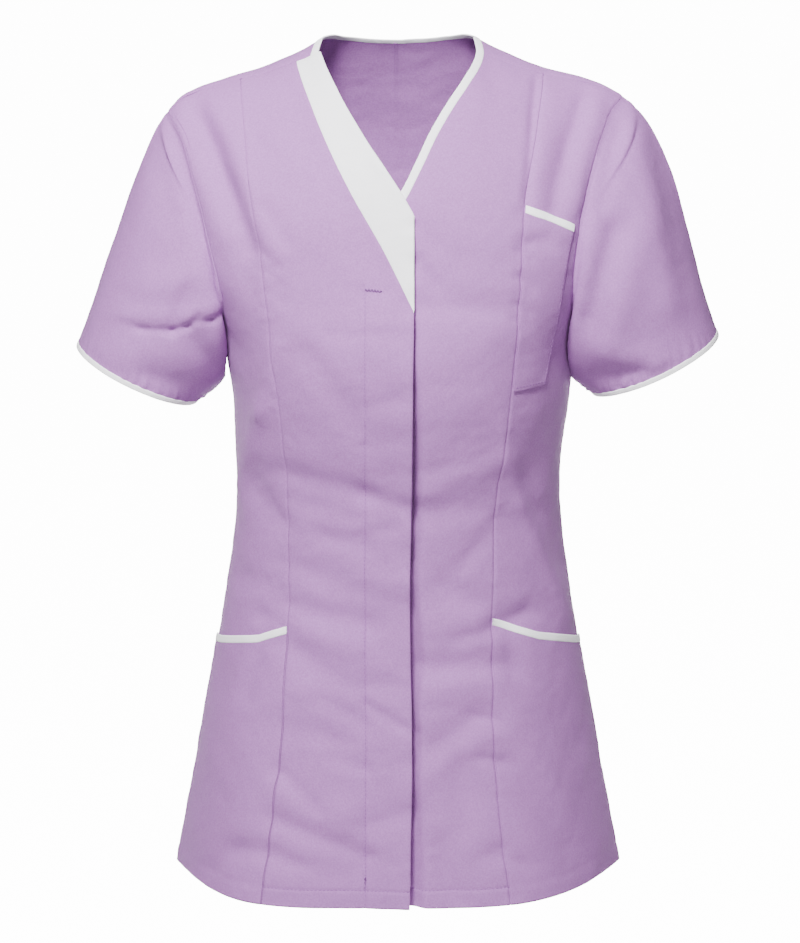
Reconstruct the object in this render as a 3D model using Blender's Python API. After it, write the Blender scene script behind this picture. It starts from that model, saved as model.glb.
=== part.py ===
"""A short-sleeved work tunic in the shape that it has on a wearer, with nobody in it.

+X is the wearer's left, -Y the front and +Z up. The origin is the middle of the line between the
neck ends of the two shoulder seams. Tables and named sizes are in millimetres, and heights run down
from the origin. Each panel is a thin wall on one smooth body surface, cut along its seam lines.
"""

import math

import bpy
import numpy as np

MM = 0.001
RIGHT, LEFT = -1, 1  # the wearer's sides, as the sign of x
FRONT, BACK = -1, 1  # as the sign of y

# Driving dimensions.
CLOTH = 1.2  # one layer of cloth with its seams' fullness
BINDING = 1.8  # bias binding folded round an edge
GAP = 0.3  # between two pieces that are sewn to each other
LAID_GAP = 0.65  # between a pocket and the panel under it
HEM = -697.0
UNDERARM = -228.0
OVERLAP = 12.5  # how far each front runs past the middle of the body
FLY_LIFT = 2.2  # the outer front stands this far off the body surface along the fly
FLY_SINK = 0.8  # the inner front lies this far under it
FLY_BLEND = (12.0, 27.0)  # where those two come back to the body surface, across from the middle
NECK_BINDING_WIDTH = 5.5
SLEEVE_BINDING_WIDTH = 5.0
POCKET_BINDING_WIDTH = 6.6
SHOULDER_DROP = 140.0  # the height over which the shoulder rounds into the chest and the back
SHOULDER_ROUND = 1.7
STUD_RADIUS, STUD_THICKNESS = 5.0, 1.1


def table(names, *rows):
    """A table's columns by name."""
    return dict(zip(names.split(), np.array(rows, float).T))


def smooth(xs, ys, at):
    """The height at `at` of a smooth curve through a table's points, level beyond its ends."""
    at = np.clip(at, xs[0], xs[-1])
    slopes = np.gradient(ys, xs)
    i = np.clip(np.searchsorted(xs, at, side="right") - 1, 0, len(xs) - 2)
    span = xs[i + 1] - xs[i]
    t = (at - xs[i]) / span
    return (
        ys[i] * (1 + 2 * t) * (1 - t) ** 2
        + ys[i + 1] * t * t * (3 - 2 * t)
        + slopes[i] * span * t * (1 - t) ** 2
        - slopes[i + 1] * span * t * t * (1 - t)
    )


def step(low, high, at):
    t = np.clip((at - low) / (high - low), 0, 1)
    return t * t * (3 - 2 * t)


# The body surface. At each height: half of its width, how far it reaches forward and back of the
# side seams, how square its front and back are, and how bluntly they turn into the side seams.
TORSO = table(
    "height half_width front back square blunt",
    (-697, 186.5, 118, 112, 4.0, 1.0),
    (-634, 174.8, 113, 108, 3.6, 1.15),
    (-581, 165.4, 108, 104, 3.2, 1.35),
    (-528, 155.6, 104, 99, 2.8, 1.6),
    (-458, 143.7, 100, 88, 2.5, 1.8),
    (-389, 134.8, 102, 79, 2.4, 1.85),
    (-350, 134.3, 107, 78, 2.4, 1.9),
    (-303, 137.7, 118, 82, 2.4, 1.9),
    (-262, 141.5, 126, 87, 2.4, 1.95),
    (-228, 146.0, 127, 91, 2.4, 2.0),
    (-207, 155.0, 124, 93, 2.4, 2.0),
    (-185, 166.0, 119, 95, 2.4, 2.0),
    (-150, 178.0, 112, 97, 2.4, 2.0),
    (-100, 188.0, 103, 96, 2.4, 2.0),
    (-50, 192.0, 97, 90, 2.4, 2.0),
    (20, 195.0, 92, 82, 2.4, 2.0),
)

SKEW = {RIGHT: 0.28, LEFT: -0.04}  # the front hangs turned a little to the right, so it is squarer there
SKEW_HEIGHTS = (-697, -400)

# The top of each shoulder, from the body's middle outwards: the height and depth of its ridge, and
# the depth of the shoulder seam, which lies a little in front of the ridge.
RIDGE = {
    RIGHT: table(
        "across height depth seam",
        (0, 12, 40, 0),
        (40, 7.5, 37, 2),
        (64, 0.5, 32, 4),
        (75, -5.3, 29, 5),
        (86, -10.2, 27, 6),
        (109, -19.3, 23, 7),
        (139, -28.0, 18, 8),
        (166, -37.4, 14, 8),
        (177, -43.0, 12, 8),
        (188, -55.0, 10, 8),
    ),
    LEFT: table(
        "across height depth seam",
        (0, 14, 40, 0),
        (40, 9, 37, 2),
        (64, 2, 32, 4),
        (76, -4.2, 29, 5),
        (92, -10.7, 26, 6),
        (116, -19.3, 22, 7),
        (151, -28.0, 17, 8),
        (170, -34.5, 13, 8),
        (183, -41.5, 11, 8),
    ),
}
SHOULDER_TIP = {RIGHT: 187.5, LEFT: 182.7}

# Seam lines on the front, as the distance across from the body's middle at each height.
NECKLINE = {
    RIGHT: table("height across", (-114, -12.5), (-100, -4), (-62, 24), (-20, 54), (0, 66)),
    LEFT: table(
        "height across",
        (-125, -12.5),
        (-106, 2),
        (-77, 19),
        (-55, 33),
        (-38, 47),
        (-22, 61),
        (-10, 68),
        (0, 70),
    ),
}
LAPEL_EDGE = table("height across", (-196, -12.5), (-140, 17), (-100, 40), (-40, 70), (-8, 84), (0, 86))
PRINCESS = {
    RIGHT: table(
        "height across",
        (-697, 113),
        (-640, 106),
        (-560, 96),
        (-460, 91),
        (-380, 90),
        (-300, 95),
        (-200, 105),
        (-120, 116),
        (-60, 124),
        (-20, 129),
    ),
    LEFT: table(
        "height across",
        (-697, 93),
        (-640, 86),
        (-560, 79),
        (-460, 78),
        (-380, 80),
        (-300, 88),
        (-240, 96),
        (-170, 101),
        (-110, 104),
        (-60, 112),
        (-20, 119),
    ),
}
# The chest pocket's outer edge, and above and below it a line that only spaces the mesh.
POCKET_EDGE = table(
    "height across",
    (-697, 141),
    (-560, 124),
    (-460, 113),
    (-360, 109),
    (-262, 118),
    (-220, 125),
    (-170, 133),
    (-129, 142),
    (-60, 150),
    (-20, 154),
)
# The armhole, from the underarm (0) to the shoulder tip (1), as the distance across.
ARMHOLE = {
    (RIGHT, FRONT): table(
        "share across",
        (0, 146.0),
        (0.12, 148),
        (0.24, 150),
        (0.4, 153.5),
        (0.55, 158),
        (0.7, 166),
        (0.85, 177),
        (0.94, 184),
        (1, 187.5),
    ),
    (LEFT, FRONT): table(
        "share across",
        (0, 146.0),
        (0.12, 147),
        (0.24, 148),
        (0.4, 151.5),
        (0.55, 156),
        (0.7, 163),
        (0.85, 173),
        (0.94, 179),
        (1, 182.7),
    ),
    (RIGHT, BACK): table(
        "share across", (0, 146.0), (0.2, 151), (0.45, 160), (0.7, 170), (0.88, 181), (1, 187.5)
    ),
    (LEFT, BACK): table(
        "share across", (0, 146.0), (0.2, 151), (0.45, 159), (0.7, 168), (0.88, 177), (1, 182.7)
    ),
}
BACK_NECK = table("across height", (0, -8.5), (25, -7), (45, -3), (58, 0.5), (66, 1.2))
BACK_NECK_CORNER = 66.0  # where the neckline crosses the shoulder's ridge
SEAM_NECK_END = 70.0  # where the back's neckline meets the right shoulder seam, behind the lapel

# Sleeves. The hem is an ellipse, given by its middle, the half that lies across the body, and the
# half that lies fore and aft. Reach is how far the cloth keeps its first direction, and spread is
# how much the sleeve opens out as it leaves the armhole.
SLEEVE = {
    RIGHT: dict(hem=(-215.5, 4, -272.6), across=(-49.0, 0, 23.3), depth=58, reach_top=25, spread=0.5),
    LEFT: dict(hem=(212.5, 4, -264.5), across=(51.7, 0, 24.3), depth=59, reach_top=52, spread=0.7),
}
SLEEVE_REACH_LOW = 38  # at the underarm
SLEEVE_END = (65, 24)  # how long the cloth runs straight into the hem, on top and at the underarm
SLEEVE_LEAN = 0.07  # the sleeve's hem looks back by this much
SLEEVE_SPREAD_LOW = 0.45
SLEEVE_TURN = (0.06, 0.35)  # how much it closes in again towards the hem, so also

# Soft folds pressed into the cloth: ends, half-width and depth, on one face of the body.
FOLDS = {
    FRONT: table(
        "x1 z1 x2 z2 width depth",
        (-152, -70, -118, -178, 13, -3.5),
        (-136, -62, -104, -150, 12, 2.0),
        (138, -60, 118, -112, 12, -2.5),
        (156, -80, 146, -200, 9, -2.5),
        (-126, -330, -92, -392, 14, -2.0),
        (122, -300, 92, -392, 14, -2.0),
        (-60, -620, -96, -560, 16, -1.8),
        (60, -590, 96, -640, 16, -1.8),
    ),
    BACK: table(
        "x1 z1 x2 z2 width depth",
        (-140, -90, -96, -210, 15, -3.0),
        (142, -90, 98, -210, 15, -3.0),
        (-110, -350, -40, -392, 16, -3.0),
        (110, -345, 40, -386, 16, -3.0),
        (-70, -520, -90, -690, 20, 3.0),
        (70, -520, 90, -690, 20, 3.0),
    ),
}

# Rows of the mesh: heights up to the underarm, then shares of the way from there to the top.
LOW_ROWS = (-697, -679, -642, -604, -567, -532, -498, -452, -424, -396, -368, -340, -312, -284, -256, -240, -228)
HIGH_ROWS = (0.035, 0.12, 0.24, 0.36, 0.47, 0.57, 0.66, 0.745, 0.82, 0.885, 0.935, 0.972, 1.0)
OVER_RIDGE_ROWS = 2  # of the back panel, from the ridge forward to the shoulder seam
SLEEVE_ROWS = 8
CELLS = dict(lapel=2, centre=4, inner_side=2, outer_side=3, back_neck=4)

HIP_POCKET_TOP = {RIGHT: (-464, -494), LEFT: (-456, -495)}  # at the princess and the side seam
HIP_POCKET_BOTTOM = -696.0
CHEST_POCKET_TOP = (-111, -130)  # at the princess seam and the pocket's outer edge
CHEST_POCKET_BOTTOM = -262.0
POCKET_INSET = 1.2  # from a pocket's edge to the seam that holds it
STUD_ROWS = (4, 6, 8, 11, 14, 19)  # each concealed stud lies half-way from this mesh row to the next


def ridge(side, name, across):
    return smooth(RIDGE[side]["across"], RIDGE[side][name], abs(across))


def shoulder_rise(drop):
    """How far the cloth has come from the ridge's depth to the chest's or the back's, 0 to 1."""
    drop = np.clip(drop / SHOULDER_DROP, 0, 1)
    return (1 - (1 - drop) ** 2) ** (1 / SHOULDER_ROUND)


def torso(name, height):
    return smooth(TORSO["height"], TORSO[name], height)


def ring_depth(side, face, across, height):
    """The body surface's depth with the shoulders left out."""
    share = np.clip(abs(across) / torso("half_width", height), 0, 1)
    reach = torso("front" if face == FRONT else "back", height)
    square = torso("square", height)
    if face == FRONT:
        square = square * (1 + SKEW[side] * (1 - step(*SKEW_HEIGHTS, height)))
    return face * reach * (1 - share**square) ** (1 / torso("blunt", height))


def body_depth(side, face, across, height):
    rise = shoulder_rise(ridge(side, "height", across) - height)
    return ridge(side, "depth", across) * (1 - rise) + ring_depth(side, face, across, height) * rise


def height_over_ridge(side, across, depth):
    """The height at which the front side of the ridge has this depth."""
    top, low, high = ridge(side, "height", across), 0.0, SHOULDER_DROP
    for _ in range(30):
        drop = (low + high) / 2
        if body_depth(side, FRONT, across, top - drop) > depth:
            low = drop
        else:
            high = drop
    return top - drop


SEAM_STATIONS = np.linspace(50, 192, 36)
SEAM_HEIGHTS = {
    side: np.array([height_over_ridge(side, a, ridge(side, "seam", a)) for a in SEAM_STATIONS])
    for side in (RIGHT, LEFT)
}


def seam_height(side, across):
    """The shoulder seam's height: where the front, coming down from the ridge, has the seam's depth."""
    return smooth(SEAM_STATIONS, SEAM_HEIGHTS[side], abs(across))


def top_height(side, face, across):
    """The height of a panel's last row: the shoulder seam, the ridge or the back neckline."""
    if face == FRONT:
        return seam_height(side, across)
    if abs(across) < BACK_NECK_CORNER:
        return smooth(BACK_NECK["across"], BACK_NECK["height"], abs(across))
    return ridge(side, "height", across)


def row_height(side, face, across, row):
    """Rows are level up to the underarm and lean gradually into the top edge above it."""
    if row < len(LOW_ROWS):
        return LOW_ROWS[row]
    share = HIGH_ROWS[row - len(LOW_ROWS)]
    return UNDERARM + share * (top_height(side, face, across) - UNDERARM)


def on_row(side, face, row, line):
    """Where a line, given by its height and distance across, meets a row."""
    across = line["across"][-1]
    for _ in range(30):
        height = row_height(side, face, across, row)
        across = (across + smooth(line["height"], line["across"], height)) / 2
    return across


def outer_edge(side, face, row):
    """The side seam up to the underarm, and the armhole above it."""
    if row < len(LOW_ROWS):
        return torso("half_width", LOW_ROWS[row])
    armhole = ARMHOLE[side, face]
    return smooth(armhole["share"], armhole["across"], HIGH_ROWS[row - len(LOW_ROWS)])


def inner_edge(side, row):
    """The front's edge: the fly up to the neckline, then the neckline."""
    return max(on_row(side, FRONT, row, NECKLINE[side]), -OVERLAP)


def spread(start, end, cells, outward=False):
    """Stations from start to end, without the first. Outward ones crowd towards the end."""
    shares = np.arange(1, cells + 1) / cells
    if outward:
        shares = np.sin(shares * math.pi / 2)
    return list(start + (end - start) * shares)


ROWS = len(LOW_ROWS) + len(HIGH_ROWS)


def front_stations(side, row):
    """The distances across of one front row's points, with the index of each seam line."""
    inner = inner_edge(side, row)
    princess = on_row(side, FRONT, row, PRINCESS[side])
    pocket = on_row(side, FRONT, row, POCKET_EDGE)
    outer = outer_edge(side, FRONT, row)
    stations = [inner]
    if side == RIGHT:
        edge = max(on_row(side, FRONT, row, LAPEL_EDGE), inner)
        stations += spread(inner, edge, CELLS["lapel"])
    stations += spread(stations[-1], princess, CELLS["centre"])
    stations += spread(princess, pocket, CELLS["inner_side"])
    stations += spread(pocket, outer, CELLS["outer_side"], outward=row < len(LOW_ROWS))
    return stations


def back_stations(side, row, seam):
    """One back row. Its last points run out to the side seam, and at the top lie over the shoulder seam's."""
    outer = outer_edge(side, BACK, row)
    neck, shoulder = CELLS["back_neck"], len(seam) - 1
    turned = [outer * math.sin(math.pi / 2 * (i + 1) / (neck + shoulder)) for i in range(neck + shoulder)]
    top = spread(0, BACK_NECK_CORNER, neck) + list(seam[1:])
    share = 0 if row < len(LOW_ROWS) else HIGH_ROWS[row - len(LOW_ROWS)] ** 1.5
    return [0.0] + [low * (1 - share) + high * share for low, high in zip(turned, top)]


def body_point(side, face, across, height):
    return (side * across, body_depth(side, face, across, height), height)


def front_grid(side):
    grid = []
    for row in range(ROWS):
        stations = front_stations(side, row)
        grid.append([body_point(side, FRONT, a, row_height(side, FRONT, a, row)) for a in stations])
    return np.array(grid)


def back_grid(side, seam_points):
    """The back up to the ridge, then over it to the front's shoulder seam."""
    seam = abs(seam_points[:, 0])
    grid = []
    for row in range(ROWS):
        stations = back_stations(side, row, seam)
        grid.append([body_point(side, BACK, a, row_height(side, BACK, a, row)) for a in stations])
    neck = CELLS["back_neck"]
    ridge_row = np.array(grid[-1])
    for i in range(1, OVER_RIDGE_ROWS + 1):
        share = i / OVER_RIDGE_ROWS
        row = ridge_row.copy()
        for j in range(neck, len(row)):
            target = seam_points[j - neck]
            across = abs(row[j, 0]) * (1 - share) + abs(target[0]) * share
            depth = row[j, 1] * (1 - share) + target[1] * share
            row[j] = (side * across, depth, height_over_ridge(side, across, depth))
            if i == OVER_RIDGE_ROWS:
                row[j] = target
        grid.append(row)
    return np.array(grid)


def fold_depth(face, points):
    """How far the soft folds press the cloth in (negative) or lift it."""
    folds, total = FOLDS[face], np.zeros(points.shape[:-1])
    x, z = points[..., 0], points[..., 2]
    for i in range(len(folds["depth"])):
        start = np.array((folds["x1"][i], folds["z1"][i]))
        run = np.array((folds["x2"][i], folds["z2"][i])) - start
        along = ((x - start[0]) * run[0] + (z - start[1]) * run[1]) / (run @ run)
        aside = ((x - start[0]) * run[1] - (z - start[1]) * run[0]) / math.hypot(*run)
        ends = step(-0.3, 0.3, along) * (1 - step(0.7, 1.3, along))
        total += folds["depth"][i] * np.exp(-((aside / folds["width"][i]) ** 2)) * ends
    return total


def grid_cells(rows, columns, closed=False):
    """Index quads of a grid of points, counter-clockwise when columns run right and rows run up."""
    quads = []
    for i in range(rows - 1):
        for j in range(columns if closed else columns - 1):
            k = (j + 1) % columns
            quads.append((i * columns + j, i * columns + k, (i + 1) * columns + k, (i + 1) * columns + j))
    return quads


def quad_normal(points, quad):
    a, b, c, d = (points[i] for i in quad)
    return np.cross(c - a, d - b) / 2


def unit(vector):
    return vector / np.linalg.norm(vector, axis=-1, keepdims=True)


def shared_normals(grids):
    """Unit normals for several sheets of (points, quads). Points in one place share their normal."""
    sums = {}
    keys = [[tuple(np.round(p, 2) + 0.0) for p in points] for points, _ in grids]
    for (points, quads), names in zip(grids, keys):
        for quad in quads:
            normal = quad_normal(points, quad)
            for i in set(quad):
                sums[names[i]] = sums.get(names[i], 0) + normal
    result = []
    for names in keys:
        found = np.array([sums.get(name, np.array((0, 0, 1.0))) for name in names])
        result.append(found / np.linalg.norm(found, axis=1)[:, None])
    return result


def boundary(quads):
    """The directed edges that belong to one quad only."""
    edges = {}
    for quad in quads:
        for a, b in zip(quad, quad[1:] + quad[:1]):
            if a != b:
                edges[a, b] = quad
    return [(a, b, quad) for (a, b), quad in edges.items() if (b, a) not in edges]


def drawn_in(points, quads, distance):
    """The sheet with its edges moved inwards by a distance, square to each edge."""
    inward = {}
    for a, b, quad in boundary(quads):
        along = points[b] - points[a]
        side = np.cross(quad_normal(points, quad), along)
        side /= max(np.linalg.norm(side), 1e-9)
        inward.setdefault(a, []).append(side)
        inward.setdefault(b, []).append(side)
    moved = points.copy()
    for i, sides in inward.items():
        if len(sides) == 2:
            moved[i] += (sides[0] + sides[1]) / max(1 + sides[0] @ sides[1], 0.3) * distance
    return moved


def material(name, colour, roughness, sheen):
    made = bpy.data.materials.new(name)
    made.use_nodes = True
    shader = made.node_tree.nodes["Principled BSDF"]
    shader.inputs["Base Color"].default_value = (*colour, 1)
    shader.inputs["Roughness"].default_value = roughness
    shader.inputs["Metallic"].default_value = 0
    shader.inputs["Sheen Weight"].default_value = sheen
    made.diffuse_color = (*colour, 1)
    return made


def welded(points, quads):
    """The quads with points that lie in one place taken as one point."""
    first = {}
    same = [first.setdefault(tuple(np.round(p, 2) + 0.0), i) for i, p in enumerate(points)]
    return [tuple(same[i] for i in quad) for quad in quads]


def wall(name, sheet, normals, finish, thickness=CLOTH, lift=0.0, inset=GAP / 2):
    """A closed solid: the sheet, raised by lift along its normals and thickened to both sides."""
    points, quads = sheet
    quads = [quad for quad in welded(points, quads) if len(set(quad)) > 2]
    points = drawn_in(points, quads, inset) + normals * lift
    used = sorted({i for quad in quads for i in quad})
    order = {i: n for n, i in enumerate(used)}
    count = len(used)
    outer = points[used] + normals[used] * thickness / 2
    inner = points[used] - normals[used] * thickness / 2
    faces = []
    for quad in quads:
        corners = [order[i] for n, i in enumerate(quad) if i != quad[n - 1]]
        for triangle in ([corners[0], *corners[n : n + 2]] for n in range(1, len(corners) - 1)):
            faces.append(triangle)
            faces.append([i + count for i in reversed(triangle)])
    for a, b, _ in boundary(quads):
        faces.append([order[b], order[a], order[a] + count, order[b] + count])
    mesh = bpy.data.meshes.new(name)
    mesh.from_pydata((np.concatenate([outer, inner]) * MM).tolist(), [], faces)
    mesh.shade_smooth()
    mesh.set_sharp_from_angle(angle=math.radians(50))
    mesh.materials.append(finish)
    made = bpy.data.objects.new(name, mesh)
    bpy.context.collection.objects.link(made)
    made.parent = tunic
    return made


def part_of(shape, quads_wanted):
    """Index quads of a grid's cells for which quads_wanted(row, column) is true."""
    rows, columns = shape
    return [
        quad
        for n, quad in enumerate(grid_cells(rows, columns))
        if quads_wanted(n // (columns - 1), n % (columns - 1))
    ]


def facing_out(side, face, quads):
    """Front right and back left grids run clockwise seen from outside, so their quads are turned."""
    return quads if side * face == -1 else [quad[::-1] for quad in quads]


for old in list(bpy.data.objects):
    bpy.data.objects.remove(old)
tunic = bpy.data.objects.new("tunic", None)
bpy.context.collection.objects.link(tunic)
lilac = material("lilac_cloth", (0.456, 0.316, 0.532), 0.75, 0.3)
white = material("white_cloth", (0.82, 0.82, 0.85), 0.7, 0.2)


# The body surface as four grids, welded where they meet.
fronts = {side: front_grid(side) for side in (RIGHT, LEFT)}
LAPEL_COLUMN = CELLS["lapel"]
PRINCESS_COLUMN = {RIGHT: CELLS["lapel"] + CELLS["centre"], LEFT: CELLS["centre"]}
LAPEL_TIP_ROW = max(
    row for row in range(ROWS) if front_stations(RIGHT, row)[LAPEL_COLUMN] - inner_edge(RIGHT, row) < 0.01
)
backs = {}
for side in (RIGHT, LEFT):
    seam = fronts[side][-1].copy()
    if side == RIGHT:
        corner = SEAM_NECK_END
        seam[0] = (side * corner, ridge(side, "seam", corner), seam_height(side, corner))
    backs[side] = back_grid(side, seam)


def back_quad_wanted(row, column):
    return row < ROWS - 1 or column >= CELLS["back_neck"]


sheets = {}
for side in (RIGHT, LEFT):
    rows, columns, _ = fronts[side].shape
    quads = part_of((rows, columns), lambda row, column: True)
    sheets[side, FRONT] = (fronts[side].reshape(-1, 3), facing_out(side, FRONT, quads))
    rows, columns, _ = backs[side].shape
    quads = part_of((rows, columns), back_quad_wanted)
    sheets[side, BACK] = (backs[side].reshape(-1, 3), facing_out(side, BACK, quads))


def fly_offset(side, points):
    """The outer front is lifted over the fly, and the inner front sinks under it."""
    across = abs(points[:, 0])
    near = 1 - step(*FLY_BLEND, across)
    return near * (FLY_LIFT if side == RIGHT else -FLY_SINK)


for pass_number in range(2):
    keys = list(sheets)
    normals = dict(zip(keys, shared_normals([sheets[key] for key in keys])))
    if pass_number == 0:
        for side, face in keys:
            points, quads = sheets[side, face]
            shift = fold_depth(face, points)
            if face == FRONT:
                shift = shift + fly_offset(side, points)
            sheets[side, face] = (points + normals[side, face] * shift[:, None], quads)


def panel(name, side, face, wanted, finish=lilac):
    points, _ = sheets[side, face]
    shape = (fronts if face == FRONT else backs)[side].shape[:2]
    quads = facing_out(side, face, part_of(shape, wanted))
    return wall(name, (points, quads), normals[side, face], finish)


for side, word in ((RIGHT, "right"), (LEFT, "left")):
    princess_column = PRINCESS_COLUMN[side]
    first = LAPEL_COLUMN if side == RIGHT else 0
    panel(f"front_{word}_centre", side, FRONT, lambda row, column: first <= column < princess_column)
    panel(f"front_{word}_side", side, FRONT, lambda row, column: column >= princess_column)
    panel(f"back_{word}", side, BACK, back_quad_wanted)
panel("lapel", RIGHT, FRONT, lambda row, column: row >= LAPEL_TIP_ROW and column < LAPEL_COLUMN, white)


# The sleeves. Each starts at the armhole, a loop from the shoulder seam down the front and up the back.
def armhole_loop(side):
    """Points of the loop, their body normals and their place round it, from 0 to 1."""
    front, back = sheets[side, FRONT][0].reshape(fronts[side].shape), sheets[side, BACK][0].reshape(backs[side].shape)
    front_normals = normals[side, FRONT].reshape(front.shape)
    back_normals = normals[side, BACK].reshape(back.shape)
    first = len(LOW_ROWS) - 1
    down = slice(None, first - 1, -1)
    halves = [
        (front[down, -1], front_normals[down, -1]),
        (back[down, -1], back_normals[down, -1]),
    ]
    points, outs, places = [], [], []
    for half, (line, line_normals) in enumerate(halves):
        run = np.concatenate([[0], np.cumsum(np.linalg.norm(np.diff(line, axis=0), axis=1))])
        share = run / run[-1] / 2
        keep = slice(0, None) if half == 0 else slice(-2, 0, -1)
        points += list(line[keep])
        outs += list(line_normals[keep])
        places += list((share if half == 0 else 1 - share)[keep])
    return np.array(points), np.array(outs), np.array(places)


def round_loop(values):
    """The difference between each point's neighbours on a loop."""
    return np.roll(values, -1, axis=0) - np.roll(values, 1, axis=0)


def sleeve_shape(side):
    """A closed tube of points, rows from the armhole to the hem's free edge, and its end direction."""
    made = SLEEVE[side]
    points, outs, places = armhole_loop(side)
    turn = 2 * math.pi * places
    middle, across = np.array(made["hem"], float), np.array(made["across"], float)
    axis = unit(np.array((across[2] * side, SLEEVE_LEAN, -abs(across[0])), float))
    radial = np.cos(turn)[:, None] * across + np.sin(turn)[:, None] * np.array((0, -made["depth"], 0))
    end = middle + radial
    radial = unit(radial)
    top = (1 + np.cos(turn))[:, None] / 2
    low = (1 - top) ** 2
    leaving = unit(axis + (SLEEVE_SPREAD_LOW + (made["spread"] - SLEEVE_SPREAD_LOW) * top) * radial)
    turn_in = SLEEVE_TURN[0] + (SLEEVE_TURN[1] - SLEEVE_TURN[0]) * low
    arriving = unit(axis - turn_in * radial)
    along = unit(round_loop(points))
    aside = unit(np.cross(along, outs))
    aside *= np.sign(np.sum(aside * (points.mean(axis=0) - points), axis=1))[:, None]
    across_seam = unit(leaving - along * np.sum(leaving * along, axis=1)[:, None])
    cosine = np.sum(across_seam * aside, axis=1)
    sine = np.clip(np.sum(across_seam * outs, axis=1), 0, 1)
    clear = GAP + CLOTH / 2
    shift = GAP / 2 + CLOTH / 2 * sine
    back = np.where(cosine < 0, (clear - (shift + GAP / 2) * sine) / np.maximum(-cosine, 0.05), 0)
    raise_by = (CLOTH / 2 + np.clip(back, 0, clear)) * step(-0.6, 0.1, -cosine)
    start = points + aside * shift[:, None] + outs * raise_by[:, None]
    reach = SLEEVE_REACH_LOW + (made["reach_top"] - SLEEVE_REACH_LOW) * top
    run_in = SLEEVE_END[1] + (SLEEVE_END[0] - SLEEVE_END[1]) * top
    cloth_end = end - arriving * SLEEVE_BINDING_WIDTH
    rows = []
    for t in np.linspace(0, 1, SLEEVE_ROWS + 1):
        rows.append(
            (1 - t) ** 3 * start
            + 3 * t * (1 - t) ** 2 * (start + leaving * reach)
            + 3 * t * t * (1 - t) * (cloth_end - arriving * run_in)
            + t**3 * cloth_end
        )
    return np.array(rows + [end])


for side, word in ((RIGHT, "right"), (LEFT, "left")):
    shape = sleeve_shape(side)
    rows, columns, _ = shape.shape
    points = shape.reshape(-1, 3)
    quads = grid_cells(rows, columns, closed=True)
    if side == LEFT:
        quads = [quad[::-1] for quad in quads]
    tube_normals = shared_normals([(points, quads)])[0]
    cloth = quads[: SLEEVE_ROWS * columns]
    wall(f"sleeve_{word}", (points, cloth), tube_normals, lilac, inset=0)
    band = points.copy()
    band[-2 * columns : -columns] += unit(points[-columns:] - points[-2 * columns : -columns]) * GAP
    wall(f"sleeve_binding_{word}", (band, quads[SLEEVE_ROWS * columns :]), tube_normals, white, BINDING, inset=0)


# The neck binding runs from the right shoulder seam round the back neck and down the left front.
def neck_path():
    points, outs = [], []
    last = CELLS["back_neck"]
    for side in (RIGHT, LEFT):
        grid = sheets[side, BACK][0].reshape(backs[side].shape)
        grid_normals = normals[side, BACK].reshape(grid.shape)
        half = [(grid[row, last], grid_normals[row, last]) for row in range(ROWS - 1 + OVER_RIDGE_ROWS, ROWS - 1, -1)]
        half += [(grid[ROWS - 1, j], grid_normals[ROWS - 1, j]) for j in range(last, -1, -1)]
        half = half if side == RIGHT else half[::-1][1:]
        points += [point for point, _ in half]
        outs += [normal for _, normal in half]
    grid = sheets[LEFT, FRONT][0].reshape(fronts[LEFT].shape)
    grid_normals = normals[LEFT, FRONT].reshape(grid.shape)
    for row in range(ROWS - 2, -1, -1):
        points.append(grid[row, 0])
        outs.append(grid_normals[row, 0])
        if grid[row, 0, 0] < -OVERLAP + 0.01:
            break
    return np.array(points), np.array(outs)


points, outs = neck_path()
along = unit(np.gradient(points, axis=0))
aside = unit(np.cross(along, outs))
points[0] += along[0] * 2 * GAP
aside[0] = unit(sheets[RIGHT, FRONT][0].reshape(fronts[RIGHT].shape)[-1, 0] - points[0]) * (1, 0, 1)
strip = np.concatenate([points + aside * GAP, points + aside * NECK_BINDING_WIDTH])
count = len(points)
quads = [(i, i + count, i + 1 + count, i + 1) for i in range(count - 1)]
wall("neck_binding", (strip, quads), np.concatenate([outs, outs]), white, BINDING, inset=0)


# Pockets and their bindings lie on the side fronts.
def pocket(name, side, columns, rows, bottom, top):
    """Columns and rows are the panel's. Top holds the heights of the pocket's two top corners."""
    grid = sheets[side, FRONT][0].reshape(fronts[side].shape)
    grid_normals = normals[side, FRONT].reshape(grid.shape)
    levels, level_normals = [], []
    shares = np.linspace(0, 1, len(columns))
    upper = top[0] + (top[1] - top[0]) * shares
    split = upper - POCKET_BINDING_WIDTH
    lines = [np.full(len(columns), bottom)]
    lines += [np.minimum(grid[row, columns, 2], split) for row in rows]
    lines += [split, np.clip(grid[rows[-1], columns, 2], split, upper), upper]
    for heights in lines:
        level, level_normal = [], []
        for j, height in zip(columns, heights):
            z = grid[:, j, 2]
            level.append([np.interp(height, z, grid[:, j, k]) for k in range(3)])
            level_normal.append([np.interp(height, z, grid_normals[:, j, k]) for k in range(3)])
        levels.append(level)
        level_normals.append(level_normal)
    points, outs = np.array(levels), unit(np.array(level_normals))
    for j, inner in ((0, 1), (len(columns) - 1, len(columns) - 2)):
        points[:, j] += unit(points[:, inner] - points[:, j]) * POCKET_INSET
    shape = points.shape[:2]
    quads = facing_out(side, FRONT, part_of(shape, lambda row, column: row < shape[0] - 3))
    flat, flat_outs = points.reshape(-1, 3), outs.reshape(-1, 3)
    wall(name, (flat, quads), flat_outs, lilac, lift=CLOTH + LAID_GAP)
    quads = facing_out(side, FRONT, part_of(shape, lambda row, column: row >= shape[0] - 3))
    lift = CLOTH / 2 + LAID_GAP + BINDING / 2
    wall(name.replace("pocket", "pocket_binding"), (flat, quads), flat_outs, white, BINDING, lift)


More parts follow.
